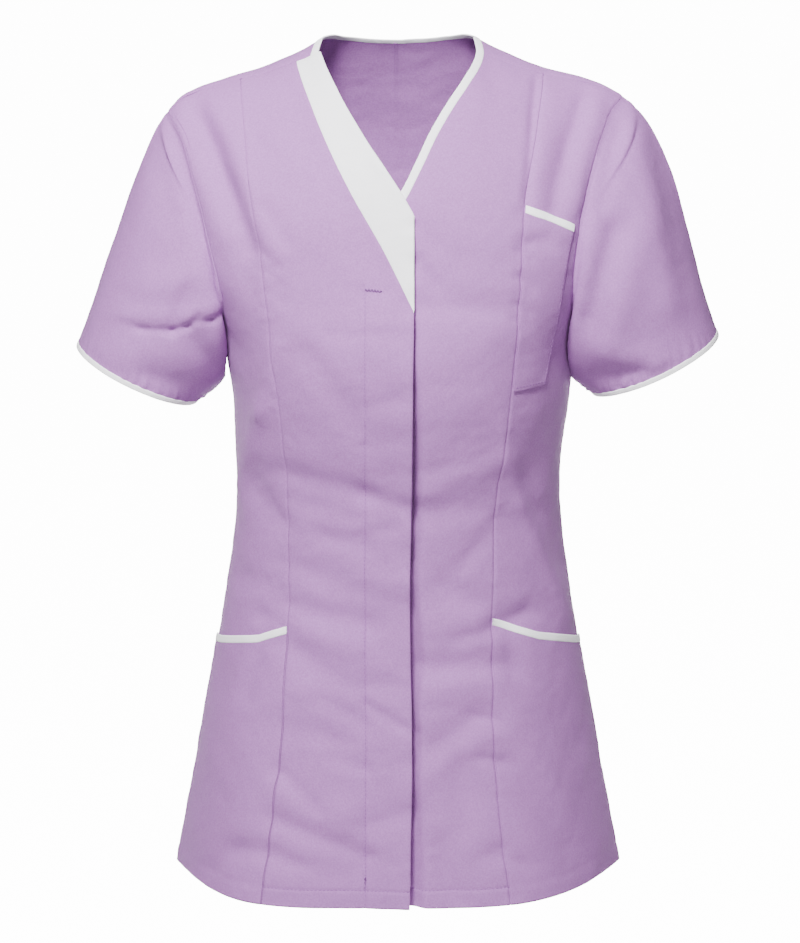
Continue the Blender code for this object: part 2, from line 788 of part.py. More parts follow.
last_low = LOW_ROWS.index(-498)
for side, word in ((RIGHT, "right"), (LEFT, "left")):
    columns = list(range(PRINCESS_COLUMN[side], fronts[side].shape[1]))
    pocket(f"hip_pocket_{word}", side, columns, range(1, last_low), HIP_POCKET_BOTTOM, HIP_POCKET_TOP[side])
columns = list(range(PRINCESS_COLUMN[LEFT], PRINCESS_COLUMN[LEFT] + CELLS["inner_side"] + 1))
rows = range(LOW_ROWS.index(-256), len(LOW_ROWS) + HIGH_ROWS.index(0.57))
pocket("chest_pocket", LEFT, columns, rows, CHEST_POCKET_BOTTOM, CHEST_POCKET_TOP)


# Press studs, closed, between the two fronts.
metal = material("stud_metal", (0.6, 0.6, 0.62), 0.35, 0)
metal.node_tree.nodes["Principled BSDF"].inputs["Metallic"].default_value = 1
grid = sheets[LEFT, FRONT][0].reshape(fronts[LEFT].shape)
grid_normals = normals[LEFT, FRONT].reshape(grid.shape)
stand_off = FLY_SINK + (FLY_LIFT - FLY_SINK) / 2  # half-way between the two layers' facing sides
for number, row in enumerate(STUD_ROWS, 1):
    below, above = grid[row, 0], grid[row + 1, 0]
    share = below[0] / (below[0] - grid[row, 1, 0])
    low = grid[row, 0] + (grid[row, 1] - grid[row, 0]) * share
    high = grid[row + 1, 0] + (grid[row + 1, 1] - grid[row + 1, 0]) * share
    axis = unit(np.cross(grid[row, 1] - grid[row, 0], high - low))
    middle = (low + high) / 2 + axis * stand_off
    sideways = unit(np.cross(axis, (0, 0, 1)))
    upright = np.cross(sideways, axis)
    turns = np.arange(16) * math.pi / 8
    ring = (np.cos(turns)[:, None] * sideways + np.sin(turns)[:, None] * upright) * STUD_RADIUS
    rim = np.concatenate([middle + ring + axis * STUD_THICKNESS / 2, middle + ring - axis * STUD_THICKNESS / 2])
    faces = [list(range(15, -1, -1)), list(range(16, 32))]
    faces += [[i, (i + 1) % 16, (i + 1) % 16 + 16, i + 16] for i in range(16)]
    mesh = bpy.data.meshes.new(f"stud_{number}")
    mesh.from_pydata((rim * MM).tolist(), [], faces)
    mesh.materials.append(metal)
    stud = bpy.data.objects.new(f"stud_{number}", mesh)
    bpy.context.collection.objects.link(stud)
    stud.parent = tunic
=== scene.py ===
"""The looks of a short-sleeved work tunic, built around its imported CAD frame. Tables are in millimetres."""

import math

import bpy
import numpy as np
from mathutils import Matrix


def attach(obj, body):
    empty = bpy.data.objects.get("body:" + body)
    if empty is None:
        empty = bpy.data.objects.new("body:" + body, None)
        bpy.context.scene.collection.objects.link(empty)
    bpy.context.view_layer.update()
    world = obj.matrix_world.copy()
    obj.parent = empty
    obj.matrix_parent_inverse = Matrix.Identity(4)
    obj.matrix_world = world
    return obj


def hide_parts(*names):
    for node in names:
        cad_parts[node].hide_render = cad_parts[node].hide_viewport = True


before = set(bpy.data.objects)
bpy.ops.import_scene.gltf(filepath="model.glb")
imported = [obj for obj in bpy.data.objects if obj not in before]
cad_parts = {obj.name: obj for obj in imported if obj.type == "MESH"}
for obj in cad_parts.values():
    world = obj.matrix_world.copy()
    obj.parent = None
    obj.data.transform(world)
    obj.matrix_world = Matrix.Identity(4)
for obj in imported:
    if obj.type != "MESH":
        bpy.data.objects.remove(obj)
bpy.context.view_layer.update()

MM = 0.001
RIGHT, LEFT = -1, 1  # the wearer's sides, as the sign of x
FRONT, BACK = -1, 1  # as the sign of y

# The camera stands 4 m from the garment's middle, 15 degrees above it.
TARGET = (1.7, 0, -356)
DISTANCE, PITCH, FOCAL_PIXELS = 4000, math.radians(15), 4819
IMAGE = (800, 943)

CLOTH = 0.7
SEAM_GAP = 0.3
UNDERARM = -228.0
OVERLAP = 12.5
FLY_LIFT, FLY_SINK, FLY_BLEND = 2.2, 0.8, (12.0, 27.0)
NECK_BINDING, SLEEVE_BINDING, POCKET_BINDING = 5.5, 3.4, 6.6
BINDING_THICKNESS = 1.7
EDGE_IN_BINDING = 1.3  # how much of the cloth's edge each binding wraps
POCKET_INSET, POCKET_LIFT = 1.2, 1.3  # in from its seams, and off the middle of the panel under it
SHOULDER_DROP, SHOULDER_ROUND = 140.0, 1.7
WAIST_LEAN, LEAN_HEIGHT, LEAN_SPREAD = 2.8, -288, 36  # the waist leans this far to the wearer's left
FLY_SWAY_REACH = 30  # how far from the fly's edge its sway dies out
POCKET_ROW = 2.6  # height of a row of a pocket's mesh
SIDES = ((RIGHT, "right"), (LEFT, "left"))
SHARP_ANGLE = math.radians(55)


def table(names, *rows):
    return dict(zip(names.split(), np.array(rows, float).T))


def run_along(path):
    """How far each point of a path lies along it."""
    return np.concatenate([[0], np.cumsum(np.linalg.norm(np.diff(path, axis=0), axis=1))])


def point_at(where, run, values):
    return np.array([np.interp(where, run, values[:, k]) for k in range(3)])


def smooth(xs, ys, at):
    """The height at `at` of a smooth curve through a table's points, level beyond its ends."""
    at = np.clip(at, xs[0], xs[-1])
    slopes = np.gradient(ys, xs)
    i = np.clip(np.searchsorted(xs, at, side="right") - 1, 0, len(xs) - 2)
    span = xs[i + 1] - xs[i]
    t = (at - xs[i]) / span
    return (
        ys[i] * (1 + 2 * t) * (1 - t) ** 2
        + ys[i + 1] * t * t * (3 - 2 * t)
        + slopes[i] * span * t * (1 - t) ** 2
        - slopes[i + 1] * span * t * t * (1 - t)
    )


def curve(rows, name, at):
    """A table's named column as a smooth curve over its first column."""
    return smooth(next(iter(rows.values())), rows[name], at)


def step(low, high, at):
    t = np.clip((at - low) / (high - low), 0, 1)
    return t * t * (3 - 2 * t)


def unit(vector):
    return vector / np.maximum(np.linalg.norm(vector, axis=-1, keepdims=True), 1e-12)


# The body surface is the CAD part's. The seam lines and edges are read more closely from the photo, and lie
# up to about 6 mm from the part's.
TORSO = table("height half_width front back square blunt", (-697, 186.5, 118, 112, 4.0, 1.0),
    (-634, 174.8, 113, 108, 3.6, 1.15), (-581, 165.4, 108, 104, 3.2, 1.35),
    (-528, 155.6, 104, 99, 2.8, 1.6), (-458, 143.7, 100, 88, 2.5, 1.8), (-389, 134.8, 102, 79, 2.4, 1.85),
    (-350, 134.3, 107, 78, 2.4, 1.9), (-303, 137.7, 118, 82, 2.4, 1.9), (-262, 141.5, 126, 87, 2.4, 1.95),
    (-228, 146.0, 127, 91, 2.4, 2.0), (-207, 155.0, 124, 93, 2.4, 2.0), (-185, 166.0, 119, 95, 2.4, 2.0),
    (-150, 178.0, 112, 97, 2.4, 2.0), (-100, 188.0, 103, 96, 2.4, 2.0), (-50, 192.0, 97, 90, 2.4, 2.0),
    (20, 195.0, 92, 82, 2.4, 2.0))
SKEW = {RIGHT: 0.28, LEFT: -0.04}
SKEW_HEIGHTS = (-697, -400)
RIDGE = {
    RIGHT: table("across height depth seam", (0, 12, 40, 0), (40, 7.5, 37, 2), (64, 0.5, 32, 4),
        (75, -5.3, 29, 5), (86, -10.2, 27, 6), (109, -19.3, 23, 7), (139, -28.0, 18, 8),
        (166, -37.4, 14, 8), (177, -43.0, 12, 8), (188, -55.0, 10, 8)),
    LEFT: table("across height depth seam", (0, 14, 40, 0), (40, 9, 37, 2), (64, 2, 32, 4),
        (76, -4.2, 29, 5), (92, -10.7, 26, 6), (116, -19.3, 22, 7), (151, -28.0, 17, 8),
        (170, -34.5, 13, 8), (183, -41.5, 11, 8)),
}
NECKLINE = {
    RIGHT: table("height across", (-117, -12.5), (-103, -4), (-64, 24), (-20, 54), (0, 66)),
    LEFT: table("height across", (-128, -12.5), (-109, 2), (-79, 19), (-55, 32), (-38, 44), (-22, 57.5),
        (-10, 67), (0, 70)),
}
LAPEL_EDGE = table("height across", (-192, -12.5), (-140, 14), (-100, 37.8), (-40, 69.5), (-8, 84),
    (0, 86))
PRINCESS = {
    RIGHT: table("height across", (-697, 113), (-640, 106), (-560, 96), (-460, 91), (-380, 90), (-300, 95),
        (-200, 105), (-120, 116), (-60, 124), (-20, 129)),
    LEFT: table("height across", (-697, 93), (-640, 86), (-560, 79), (-460, 78), (-380, 79), (-300, 85.8),
        (-240, 93.8), (-170, 98.8), (-110, 102.5), (-60, 112), (-20, 119)),
}
POCKET_EDGE = table("height across", (-697, 141), (-560, 124), (-460, 113), (-360, 109), (-262, 118),
    (-220, 127), (-170, 135), (-129, 142), (-60, 150), (-20, 154))
ARMHOLE = {
    (RIGHT, FRONT): table("share across", (0, 146.0), (0.05, 143), (0.12, 142), (0.24, 144.5),
        (0.4, 151.5), (0.55, 158.5), (0.7, 166), (0.85, 174.5), (0.94, 182.5), (1, 187.5)),
    (LEFT, FRONT): table("share across", (0, 146.0), (0.05, 143), (0.12, 142), (0.24, 142.7), (0.4, 145.5),
        (0.55, 150), (0.7, 157), (0.85, 166.5), (0.94, 174), (1, 182.7)),
    (RIGHT, BACK): table("share across", (0, 146.0), (0.2, 151), (0.45, 160), (0.7, 170), (0.88, 181),
        (1, 187.5)),
    (LEFT, BACK): table("share across", (0, 146.0), (0.2, 151), (0.45, 159), (0.7, 168), (0.88, 177),
        (1, 182.7)),
}
BACK_NECK = table("across height", (0, -6.3), (25, -4.9), (45, -1.2), (58, 1.6), (66, 1.4))
BACK_NECK_CORNER, SEAM_NECK_END = 66.0, 70.0
SLEEVE = {
    RIGHT: dict(hem=(-215.5, 4, -272.6), across=(-49.0, 0, 23.3), depth=58, reach_top=25, spread=0.5),
    LEFT: dict(hem=(212.5, 4, -264.5), across=(51.7, 0, 24.3), depth=59, reach_top=52, spread=0.7),
}
SLEEVE_REACH_LOW, SLEEVE_END, SLEEVE_LEAN = 38, (65, 24), 0.07
SLEEVE_SPREAD_LOW, SLEEVE_TURN = 0.45, (0.06, 0.35)
HIP_POCKET_TOP = {RIGHT: (-464, -494), LEFT: (-456, -495)}
HIP_POCKET_BOTTOM = -696.0
CHEST_POCKET_TOP, CHEST_POCKET_BOTTOM = (-111, -130), -262.0

# The pressed-in folds of the CAD part.
FOLDS = {
    FRONT: table("x1 z1 x2 z2 width depth", (-152, -70, -118, -178, 13, -3.5),
        (-136, -62, -104, -150, 12, 2.0), (138, -60, 118, -112, 12, -2.5), (156, -80, 146, -200, 9, -2.5),
        (-126, -330, -92, -392, 14, -2.0), (122, -300, 92, -392, 14, -2.0),
        (-60, -620, -96, -560, 16, -1.8), (60, -590, 96, -640, 16, -1.8)),
    BACK: table("x1 z1 x2 z2 width depth", (-140, -90, -96, -210, 15, -3.0),
        (142, -90, 98, -210, 15, -3.0), (-110, -350, -40, -392, 16, -3.0), (110, -345, 40, -386, 16, -3.0),
        (-70, -520, -90, -690, 20, 3.0), (70, -520, 90, -690, 20, 3.0)),
}


def ridge(side, name, across):
    return curve(RIDGE[side], name, np.abs(across))


def torso(name, height):
    return curve(TORSO, name, height)


def body_depth(side, face, across, height):
    share = np.clip(np.abs(across) / torso("half_width", height), 0, 1)
    reach = torso("front" if face == FRONT else "back", height)
    square = torso("square", height)
    if face == FRONT:
        square = square * (1 + SKEW[side] * (1 - step(*SKEW_HEIGHTS, height)))
    ring = face * reach * (1 - share**square) ** (1 / torso("blunt", height))
    drop = np.clip((ridge(side, "height", across) - height) / SHOULDER_DROP, 0, 1)
    rise = (1 - (1 - drop) ** 2) ** (1 / SHOULDER_ROUND)
    return ridge(side, "depth", across) * (1 - rise) + ring * rise


def height_over_ridge(side, across, depth):
    top = ridge(side, "height", across)
    low, high = np.zeros_like(top), np.full_like(top, SHOULDER_DROP)
    for _ in range(30):
        drop = (low + high) / 2
        behind = body_depth(side, FRONT, across, top - drop) > depth
        low, high = np.where(behind, drop, low), np.where(behind, high, drop)
    return top - (low + high) / 2


STATIONS = np.linspace(50, 192, 72)
SEAMS = {side: height_over_ridge(side, STATIONS, ridge(side, "seam", STATIONS)) for side in (RIGHT, LEFT)}


def top_height(side, face, across):
    if face == FRONT:
        return smooth(STATIONS, SEAMS[side], np.abs(across))
    neck = curve(BACK_NECK, "height", np.abs(across))
    return np.where(np.abs(across) < BACK_NECK_CORNER, neck, ridge(side, "height", across))


# Rows of the visual mesh: a height up to the underarm, or a share of the way from there to the top.
HEM_STITCH = -682.5
HEM_ROWS = (-697, -696, -694, -691, -688, -685.5, -684, -683.2, -682.5, -681.8, -681, -679.5, -677)
LOW = np.concatenate([HEM_ROWS, np.arange(-674.5, -230, 2.5), [-228]])
HIGH = np.concatenate([np.arange(1, 84) / 84.0, (0.992, 1.0)])
BASES = np.concatenate([LOW, np.full(len(HIGH), UNDERARM)])
SHARES = np.concatenate([np.zeros(len(LOW)), HIGH])
ROWS, FIRST_HIGH = len(BASES), len(LOW)
OVER_RIDGE = 9
PLACKET = 26.0  # from the body's middle to the stitching of the fly
CELLS = dict(lapel=12, placket=24, centre=34, whole_centre=60, inner_side=16, outer_side=26, back_neck=18)


def row_heights(side, face, across):
    """Heights of a grid of distances across, one row of it for each mesh row."""
    shares, bases = (v.reshape((-1,) + (1,) * (np.ndim(across) - 1)) for v in (SHARES, BASES))
    return bases + shares * (top_height(side, face, across) - UNDERARM)


def on_rows(side, line):
    across = np.full(ROWS, line["across"][-1])
    for _ in range(40):
        across = (across + curve(line, "across", row_heights(side, FRONT, across))) / 2
    return across


def outer_edge(side, face):
    return np.where(SHARES == 0, torso("half_width", BASES), curve(ARMHOLE[side, face], "across", SHARES))


def crowded(cells, pull=0.75):
    """Shares from 0 to 1 that lie closer together near both ends."""
    t = np.arange(1, cells + 1) / cells
    return t - pull * np.sin(2 * math.pi * t) / (2 * math.pi)


def between(start, end, shares):
    return start[:, None] + (end - start)[:, None] * shares


def front_grid(side):
    inner = np.maximum(on_rows(side, NECKLINE[side]), -OVERLAP)
    princess, pocket = on_rows(side, PRINCESS[side]), on_rows(side, POCKET_EDGE)
    outer = outer_edge(side, FRONT)
    parts = [inner[:, None]]
    if side == RIGHT:
        edge = np.maximum(on_rows(side, LAPEL_EDGE), inner)
        parts.append(between(inner, edge, crowded(CELLS["lapel"])))
        placket = np.maximum(PLACKET, edge + 0.3 * (princess - edge))
        low = step(-150, -190, BASES + SHARES * 200)
        placket = placket * (1 - low) + PLACKET * low
        parts.append(between(edge, placket, crowded(CELLS["placket"])))
        parts.append(between(placket, princess, crowded(CELLS["centre"])))
    else:
        parts.append(between(inner, princess, crowded(CELLS["whole_centre"])))
    parts.append(between(princess, pocket, crowded(CELLS["inner_side"], 0.5)))
    t = np.arange(1, CELLS["outer_side"] + 1) / CELLS["outer_side"]
    low, high = np.sin(t * math.pi / 2), crowded(CELLS["outer_side"], 0.5)
    blend = (SHARES**0.5)[:, None]
    parts.append(pocket[:, None] + (outer - pocket)[:, None] * (low * (1 - blend) + high * blend))
    across = np.concatenate(parts, axis=1)
    return place(side, FRONT, across, row_heights(side, FRONT, across))


def place(side, face, across, heights):
    if side == RIGHT and face == FRONT:
        sway = curve(FLY_EDGE, "shift", heights)
        sway = sway * np.exp(-np.maximum(across + OVERLAP, 0) / FLY_SWAY_REACH)
        across = across - sway * step(UNDERARM + 60, UNDERARM, heights)
    lean = WAIST_LEAN * np.exp(-(((heights - LEAN_HEIGHT) / LEAN_SPREAD) ** 2))
    lean = lean * (across / torso("half_width", heights)) ** 2
    return np.stack([side * across + lean, body_depth(side, face, across, heights), heights], axis=-1)


def back_grid(side, seam):
    """The back up to the ridge, then over it to the front's shoulder seam."""
    outer, neck = outer_edge(side, BACK), CELLS["back_neck"]
    count = neck + len(seam) - 1
    turned = outer[:, None] * np.sin(math.pi / 2 * np.arange(1, count + 1) / count)
    top = np.concatenate([BACK_NECK_CORNER * np.arange(1, neck + 1) / neck, np.abs(seam[1:, 0])])
    share = SHARES[:, None] ** 1.5
    across = np.concatenate([np.zeros((ROWS, 1)), turned * (1 - share) + top * share], axis=1)
    grid = place(side, BACK, across, row_heights(side, BACK, across))
    rows = [grid]
    ridge_row = grid[-1]
    for i in range(1, OVER_RIDGE + 1):
        t, row = i / OVER_RIDGE, ridge_row.copy()
        across = np.abs(row[neck:, 0]) * (1 - t) + np.abs(seam[:, 0]) * t
        depth = row[neck:, 1] * (1 - t) + seam[:, 1] * t
        row[neck:] = np.stack([side * across, depth, height_over_ridge(side, across, depth)], axis=-1)
        if i == OVER_RIDGE:
            row[neck:] = seam
        rows.append(row[None])
    return np.concatenate(rows)


def photo_pixels(points):
    """Where points in the row frame, in millimetres, lie in the 800 x 943 photograph."""
    cosine, sine = math.cos(PITCH), math.sin(PITCH)
    x, y, z = (points[..., i] - TARGET[i] for i in range(3))
    depth = DISTANCE + cosine * y - sine * z
    across = IMAGE[0] / 2 + FOCAL_PIXELS * x / depth
    down = IMAGE[1] / 2 - FOCAL_PIXELS * (sine * y + cosine * z) / depth
    return np.stack([across, down], axis=-1)


def grid_normals(grid, wanted=None):
    """Area-weighted normals of a grid whose quads run anticlockwise in its own order."""
    a, b, c, d = grid[:-1, :-1], grid[:-1, 1:], grid[1:, 1:], grid[1:, :-1]
    face = np.cross(c - a, d - b)
    if wanted is not None:
        face = face * wanted[..., None]
    sums = np.zeros_like(grid)
    sums[:-1, :-1] += face
    sums[:-1, 1:] += face
    sums[1:, 1:] += face
    sums[1:, :-1] += face
    return sums


def weld_normals(sums, grids):
    """Unit normals for several grids. Points that lie in one place share their normal."""
    flat = np.concatenate([g.reshape(-1, 3) for g in grids])
    total = np.concatenate([s.reshape(-1, 3) for s in sums])
    _, names = np.unique(np.round(flat, 2) + 0.0, axis=0, return_inverse=True)
    names = names.reshape(-1)
    merged = np.zeros((names.max() + 1, 3))
    np.add.at(merged, names, total)
    normals, result, start = unit(merged)[names], [], 0
    for g in grids:
        count = g.shape[0] * g.shape[1]
        result.append(normals[start : start + count].reshape(g.shape))
        start += count
    return result


def fold_depth(face, points):
    folds, total = FOLDS[face], np.zeros(points.shape[:-1])
    x, z = points[..., 0], points[..., 2]
    for i in range(len(folds["depth"])):
        start = np.array((folds["x1"][i], folds["z1"][i]))
        run = np.array((folds["x2"][i], folds["z2"][i])) - start
        along = ((x - start[0]) * run[0] + (z - start[1]) * run[1]) / (run @ run)
        aside = ((x - start[0]) * run[1] - (z - start[1]) * run[0]) / math.hypot(*run)
        ends = step(-0.3, 0.3, along) * (1 - step(0.7, 1.3, along))
        total += folds["depth"][i] * np.exp(-((aside / folds["width"][i]) ** 2)) * ends
    return total


def fly_offset(side, grid):
    near = 1 - step(*FLY_BLEND, np.abs(grid[..., 0]))
    return near * (FLY_LIFT if side == RIGHT else -FLY_SINK)


# Finer creases that the worn cloth shows from the front, by the camera's picture: the two ends and
# half-width of each in pixels, and how far it lifts the cloth (or presses it in, negative) in mm.
BODY_CREASES = table(
    "x1 y1 x2 y2 width depth",
    # right centre front, between the princess seam and the fly's stitching
    (310, 361, 353, 421, 9, -0.7), (286, 474, 362, 496, 8, -0.9), (325, 536, 362, 546, 6, -0.6),
    (292, 566, 360, 590, 9, -0.7), (286, 606, 364, 622, 8, -0.9), (292, 630, 350, 648, 8, 0.6),
    (288, 644, 350, 692, 9, -0.8), (325, 700, 362, 722, 7, -0.7), (288, 728, 340, 742, 9, -0.7),
    (335, 760, 362, 768, 5, -0.5), (280, 774, 312, 804, 6, -0.9), (278, 822, 362, 856, 7, -1.1),
    (330, 334, 411, 336, 6, -0.3), (296, 110, 384, 275, 12, -0.5), (292, 500, 350, 516, 7, -0.5),
    (300, 690, 344, 700, 8, 0.5), (286, 792, 340, 812, 9, 0.6), (292, 866, 356, 872, 8, -0.5),
    # the fly, between its stitching and its edge
    (370, 406, 398, 399, 6, -0.4), (366, 446, 395, 440, 5, -0.25), (366, 496, 411, 508, 6, -0.6),
    (366, 534, 390, 528, 5, -0.25), (368, 584, 408, 584, 9, 0.5), (374, 684, 405, 687, 7, -0.5),
    (370, 707, 411, 731, 4, -0.6), (370, 826, 408, 813, 7, -0.6), (374, 856, 392, 862, 5, -0.3),
    (364, 292, 390, 292, 4, -0.3),
    # puckers beside the right princess seam
    (259, 142, 272, 152, 4, -0.3), (262, 206, 284, 240, 5, -0.4), (266, 256, 276, 266, 3.5, -0.4),
    (268, 272, 280, 286, 3.5, -0.4), (271, 292, 282, 300, 4, -0.3),
    # left centre front
    (420, 306, 495, 308, 9, -0.7), (428, 490, 499, 462, 8, 0.6), (424, 514, 470, 508, 8, -0.5),
    (462, 566, 496, 522, 6, -0.5), (446, 586, 494, 613, 9, -0.8), (425, 626, 492, 618, 10, 0.4),
    (460, 638, 493, 628, 5, -0.4), (426, 667, 494, 665, 8, -0.9), (440, 690, 480, 682, 9, 0.5),
    (436, 748, 482, 717, 9, -0.9), (474, 716, 495, 721, 4, -0.4), (426, 775, 470, 742, 9, 0.5),
    (458, 770, 464, 826, 9, -0.8), (440, 847, 452, 892, 7, -0.8), (484, 759, 500, 762, 4, -0.5),
    (480, 860, 500, 850, 6, -0.4), (418, 226, 432, 242, 7, -0.5), (418, 264, 434, 284, 6, -0.8),
    (425, 392, 492, 380, 12, -0.25),
    # right side front and its hip pocket
    (244, 478, 283, 522, 6, -0.43), (274, 350, 262, 410, 6, 0.79), (262, 410, 240, 478, 6, 0.72),
    (244, 578, 284, 588, 8, -0.5), (262, 616, 288, 628, 6, -0.65), (262, 642, 246, 692, 6, -0.58),
    (238, 648, 224, 690, 6, -0.43), (212, 868, 236, 850, 7, -0.65), (236, 850, 274, 852, 7, -0.79),
    (270, 858, 298, 864, 5, -0.5),
    # left side front, its pockets and the pen pocket
    (503, 430, 520, 505, 6, 0.59), (520, 505, 566, 615, 6, 0.68), (545, 515, 562, 560, 8, -0.59),
    (498, 626, 524, 614, 7, -1.19), (510, 640, 516, 668, 6, -0.77), (514, 668, 574, 740, 9, -0.68),
    (506, 764, 564, 842, 8, -0.77), (545, 772, 594, 840, 9, 0.59), (500, 700, 524, 742, 9, 0.42),
    (502, 858, 522, 864, 6, -0.59), (526, 218, 546, 244, 6, -0.68), (524, 246, 548, 236, 5, -0.51),
    (536, 232, 566, 232, 7, 0.51), (523, 238, 530, 242, 3, -0.42), (522, 254, 530, 258, 3, -0.42),
    (521, 278, 530, 286, 3.5, -0.51), (519, 306, 527, 312, 3.5, -0.51), (517, 320, 524, 324, 3.5, -0.42),
    # chest and shoulders
    (199, 118, 249, 246, 8, -1.49), (180, 130, 226, 232, 8, 0.81), (212, 108, 250, 190, 6, 0.31),
    (581, 102, 555, 207, 5.5, -0.93), (597, 110, 577, 204, 6, 0.62), (536, 84, 527, 200, 3.5, -0.74),
    (552, 96, 541, 196, 7, 0.37),
)
SLEEVE_CREASES = {
    RIGHT: table("x1 y1 x2 y2 width depth", (122, 322, 142, 329, 2.8, -0.35),
        (142, 329, 172, 331, 2.4, -0.6), (172, 331, 188, 326, 2.4, -0.75), (188, 326, 198, 315, 2.4, -0.6),
        (198, 321, 212, 320, 2.4, -0.55), (212, 320, 226, 311, 2.4, -0.6), (128, 316, 186, 317, 7, 0.9),
        (200, 311, 222, 303, 6, 0.7), (156, 288, 176, 284, 12, 1.0), (128, 352, 182, 350, 12, 0.6),
        (176, 318, 186, 292, 5, -0.9), (196, 346, 214, 366, 7, -0.9), (150, 376, 176, 384, 7, -0.6),
        (180, 140, 204, 230, 7, -1.1), (158, 150, 170, 210, 9, -0.6)),
    LEFT: table("x1 y1 x2 y2 width depth", (616, 236, 592, 318, 10, -2.0), (640, 230, 612, 330, 12, 0.8),
        (640, 150, 668, 300, 10, 1.0), (662, 140, 690, 260, 12, -0.8), (618, 130, 604, 200, 7, -0.9),
        (612, 352, 650, 362, 9, 0.9), (600, 376, 640, 372, 6, -0.8)),
}
# How far the fly's edge strays from straight, and how far from the middle the left front dips under it.
FLY_EDGE = table("height shift", (-690, -2.8), (-649, -2.6), (-583, -1.4), (-549, -1.6), (-475, -3.0),
    (-433, -3.4), (-350, -2.0), (-284, -1.4), (-209, -0.4), (-190, 0))
FLY_DIP = table("height depth reach", (-690, 6, 22.5), (-632, 6, 21.7), (-599, 6, 18.5), (-566, 6, 20.1),
    (-516, 6, 18.5), (-497, 6, 23.3), (-466, 6, 20.9), (-433, 6, 17.7), (-400, 6, 17.7), (-383, 6, 20.1),
    (-350, 6, 19.3), (-304, 6, 20.1), (-267, 5, 18.5), (-244, 4, 16.1), (-218, 3.5, 16.9), (-190, 2, 15.5),
    (-130, 0.8, 14.5))
RELIEF, BREADTH = 3.3, 1.6  # of all creases: times their depth, and times their width
FLY_DOUBLED, FLY_RAISED, FLY_WAVES = 0.75, 1.7, (0.8, 0.2)
DIP, DIP_START = 1.45, 10.5
BODY_FACING, SLEEVE_FACING = 0.35, 0.75  # creases fade where the cloth turns away from the camera
TOWARD_CAMERA = np.array((0, -math.cos(PITCH), math.sin(PITCH)))


def crease_depth(creases, points, outs, facing):
    pixels, total = photo_pixels(points), np.zeros(points.shape[:-1])
    for x1, y1, x2, y2, width, depth in zip(*creases.values()):
        width = width * BREADTH
        length = math.hypot(x2 - x1, y2 - y1)
        run = (x2 - x1) / length, (y2 - y1) / length
        x, y = pixels[..., 0] - x1, pixels[..., 1] - y1
        along, aside = x * run[0] + y * run[1], x * run[1] - y * run[0]
        beyond = np.maximum(np.maximum(-along, along - length), 0)
        total += depth * np.exp(-((aside / width) ** 2) - (beyond / (1.4 * width)) ** 2)
    return total * step(0, facing, outs @ TOWARD_CAMERA)


def unevenness(points, size, seed, waves=16):
    """A gentle random swell of about this size over the cloth, mostly from -1 to 1."""
    random, total = np.random.default_rng(seed), 0
    for _ in range(waves):
        turn = unit(random.normal(size=3)) * 2 * math.pi / size * random.uniform(0.6, 1.5)
        total = total + np.sin(points @ turn + random.uniform(0, 2 * math.pi))
    return total / math.sqrt(waves)


def ripple(run, period, seed):
    """An uneven wave along a seam, from about -1 to 1."""
    phase = 2 * math.pi * run / period
    return np.sin(phase + 1.3 * np.sin(phase * 0.31 + seed) + seed * 2.1) * (
        0.62 + 0.38 * np.sin(phase * 0.17 + seed * 1.7)
    )


def seam(distance, run, groove, pucker, period=11.0, seed=1.0, reach=5.0):
    """The dip of a seam at this distance from it, and the puckers beside it."""
    near = np.abs(distance)
    waves = ripple(run, period, seed) * np.exp(-near / reach) * (1 - 0.6 * np.exp(-((near / 1.2) ** 2)))
    return pucker * waves - groove * np.exp(-((near / 1.1) ** 2))


def arcs(grid):
    """How far each point of a grid lies along its row and up its column."""
    across = np.cumsum(np.linalg.norm(np.diff(grid, axis=1, prepend=grid[:, :1]), axis=2), axis=1)
    up = np.cumsum(np.linalg.norm(np.diff(grid, axis=0, prepend=grid[:1]), axis=2), axis=0)
    return across, up


def drape(side, face, grid, outs):
    """How far each point moves along its normal: the CAD part's folds, and the cloth's finer relief."""
    across, up = arcs(grid)
    height = grid[..., 2]

    def down(column, **shape):
        at = slice(column, column + 1 or None)
        return seam(across - across[:, at], up[:, at], **shape)

    shift = fold_depth(face, grid)
    for depth, size, seed in ((0.35, 75, 5), (0.2, 34, 8), (0.1, 15, 6)):
        shift = shift + depth * unevenness(grid, size, seed)
    shift += down(-1, groove=0.5, pucker=0.12, period=14, seed=2 + side)
    shift += seam(height - HEM_STITCH, across, groove=0.55, pucker=0.12, period=9, seed=4, reach=4)
    shift += 0.35 * (1 - step(HEM_STITCH - 0.4, HEM_STITCH + 1.2, height))
    over = seam(up[-1:] - up, across, groove=0.4, pucker=0.1, period=12, seed=5)
    shift += over if face == FRONT else over * (np.arange(grid.shape[1]) >= CELLS["back_neck"])
    if face == BACK:
        pressed = np.exp(-((across / 4) ** 2)) if side == LEFT else 0
        return shift - pressed + down(0, groove=0, pucker=0.25, period=13, seed=6)
    shift += fly_offset(side, grid) + RELIEF * crease_depth(BODY_CREASES, grid, outs, BODY_FACING)
    shift += down(PRINCESS_COLUMN[side], groove=0.5, pucker=0.25, seed=3 + side)
    if side == RIGHT:
        shift += down(LAPEL_COLUMN, groove=0.35, pucker=0.05)
        shift += down(PLACKET_COLUMN, groove=0.55, pucker=0.16, period=8, seed=7) * step(-172, -178, height)
        doubled = step(-PLACKET - 1.2, -PLACKET + 0.4, grid[..., 0]) * step(-165, -180, height)
        shift += FLY_DOUBLED * doubled
        broad, fine = ripple(up[:, :1], 58, 2), ripple(up[:, :1], 19, 4)
        shift += (1 - step(0, 16, across)) * (FLY_RAISED + FLY_WAVES[0] * broad + FLY_WAVES[1] * fine)
    else:
        depth, reach = (curve(FLY_DIP, name, height) for name in ("depth", "reach"))
        shift -= DIP * depth * (1 - step(DIP_START, reach + 2, grid[..., 0]))
    return shift


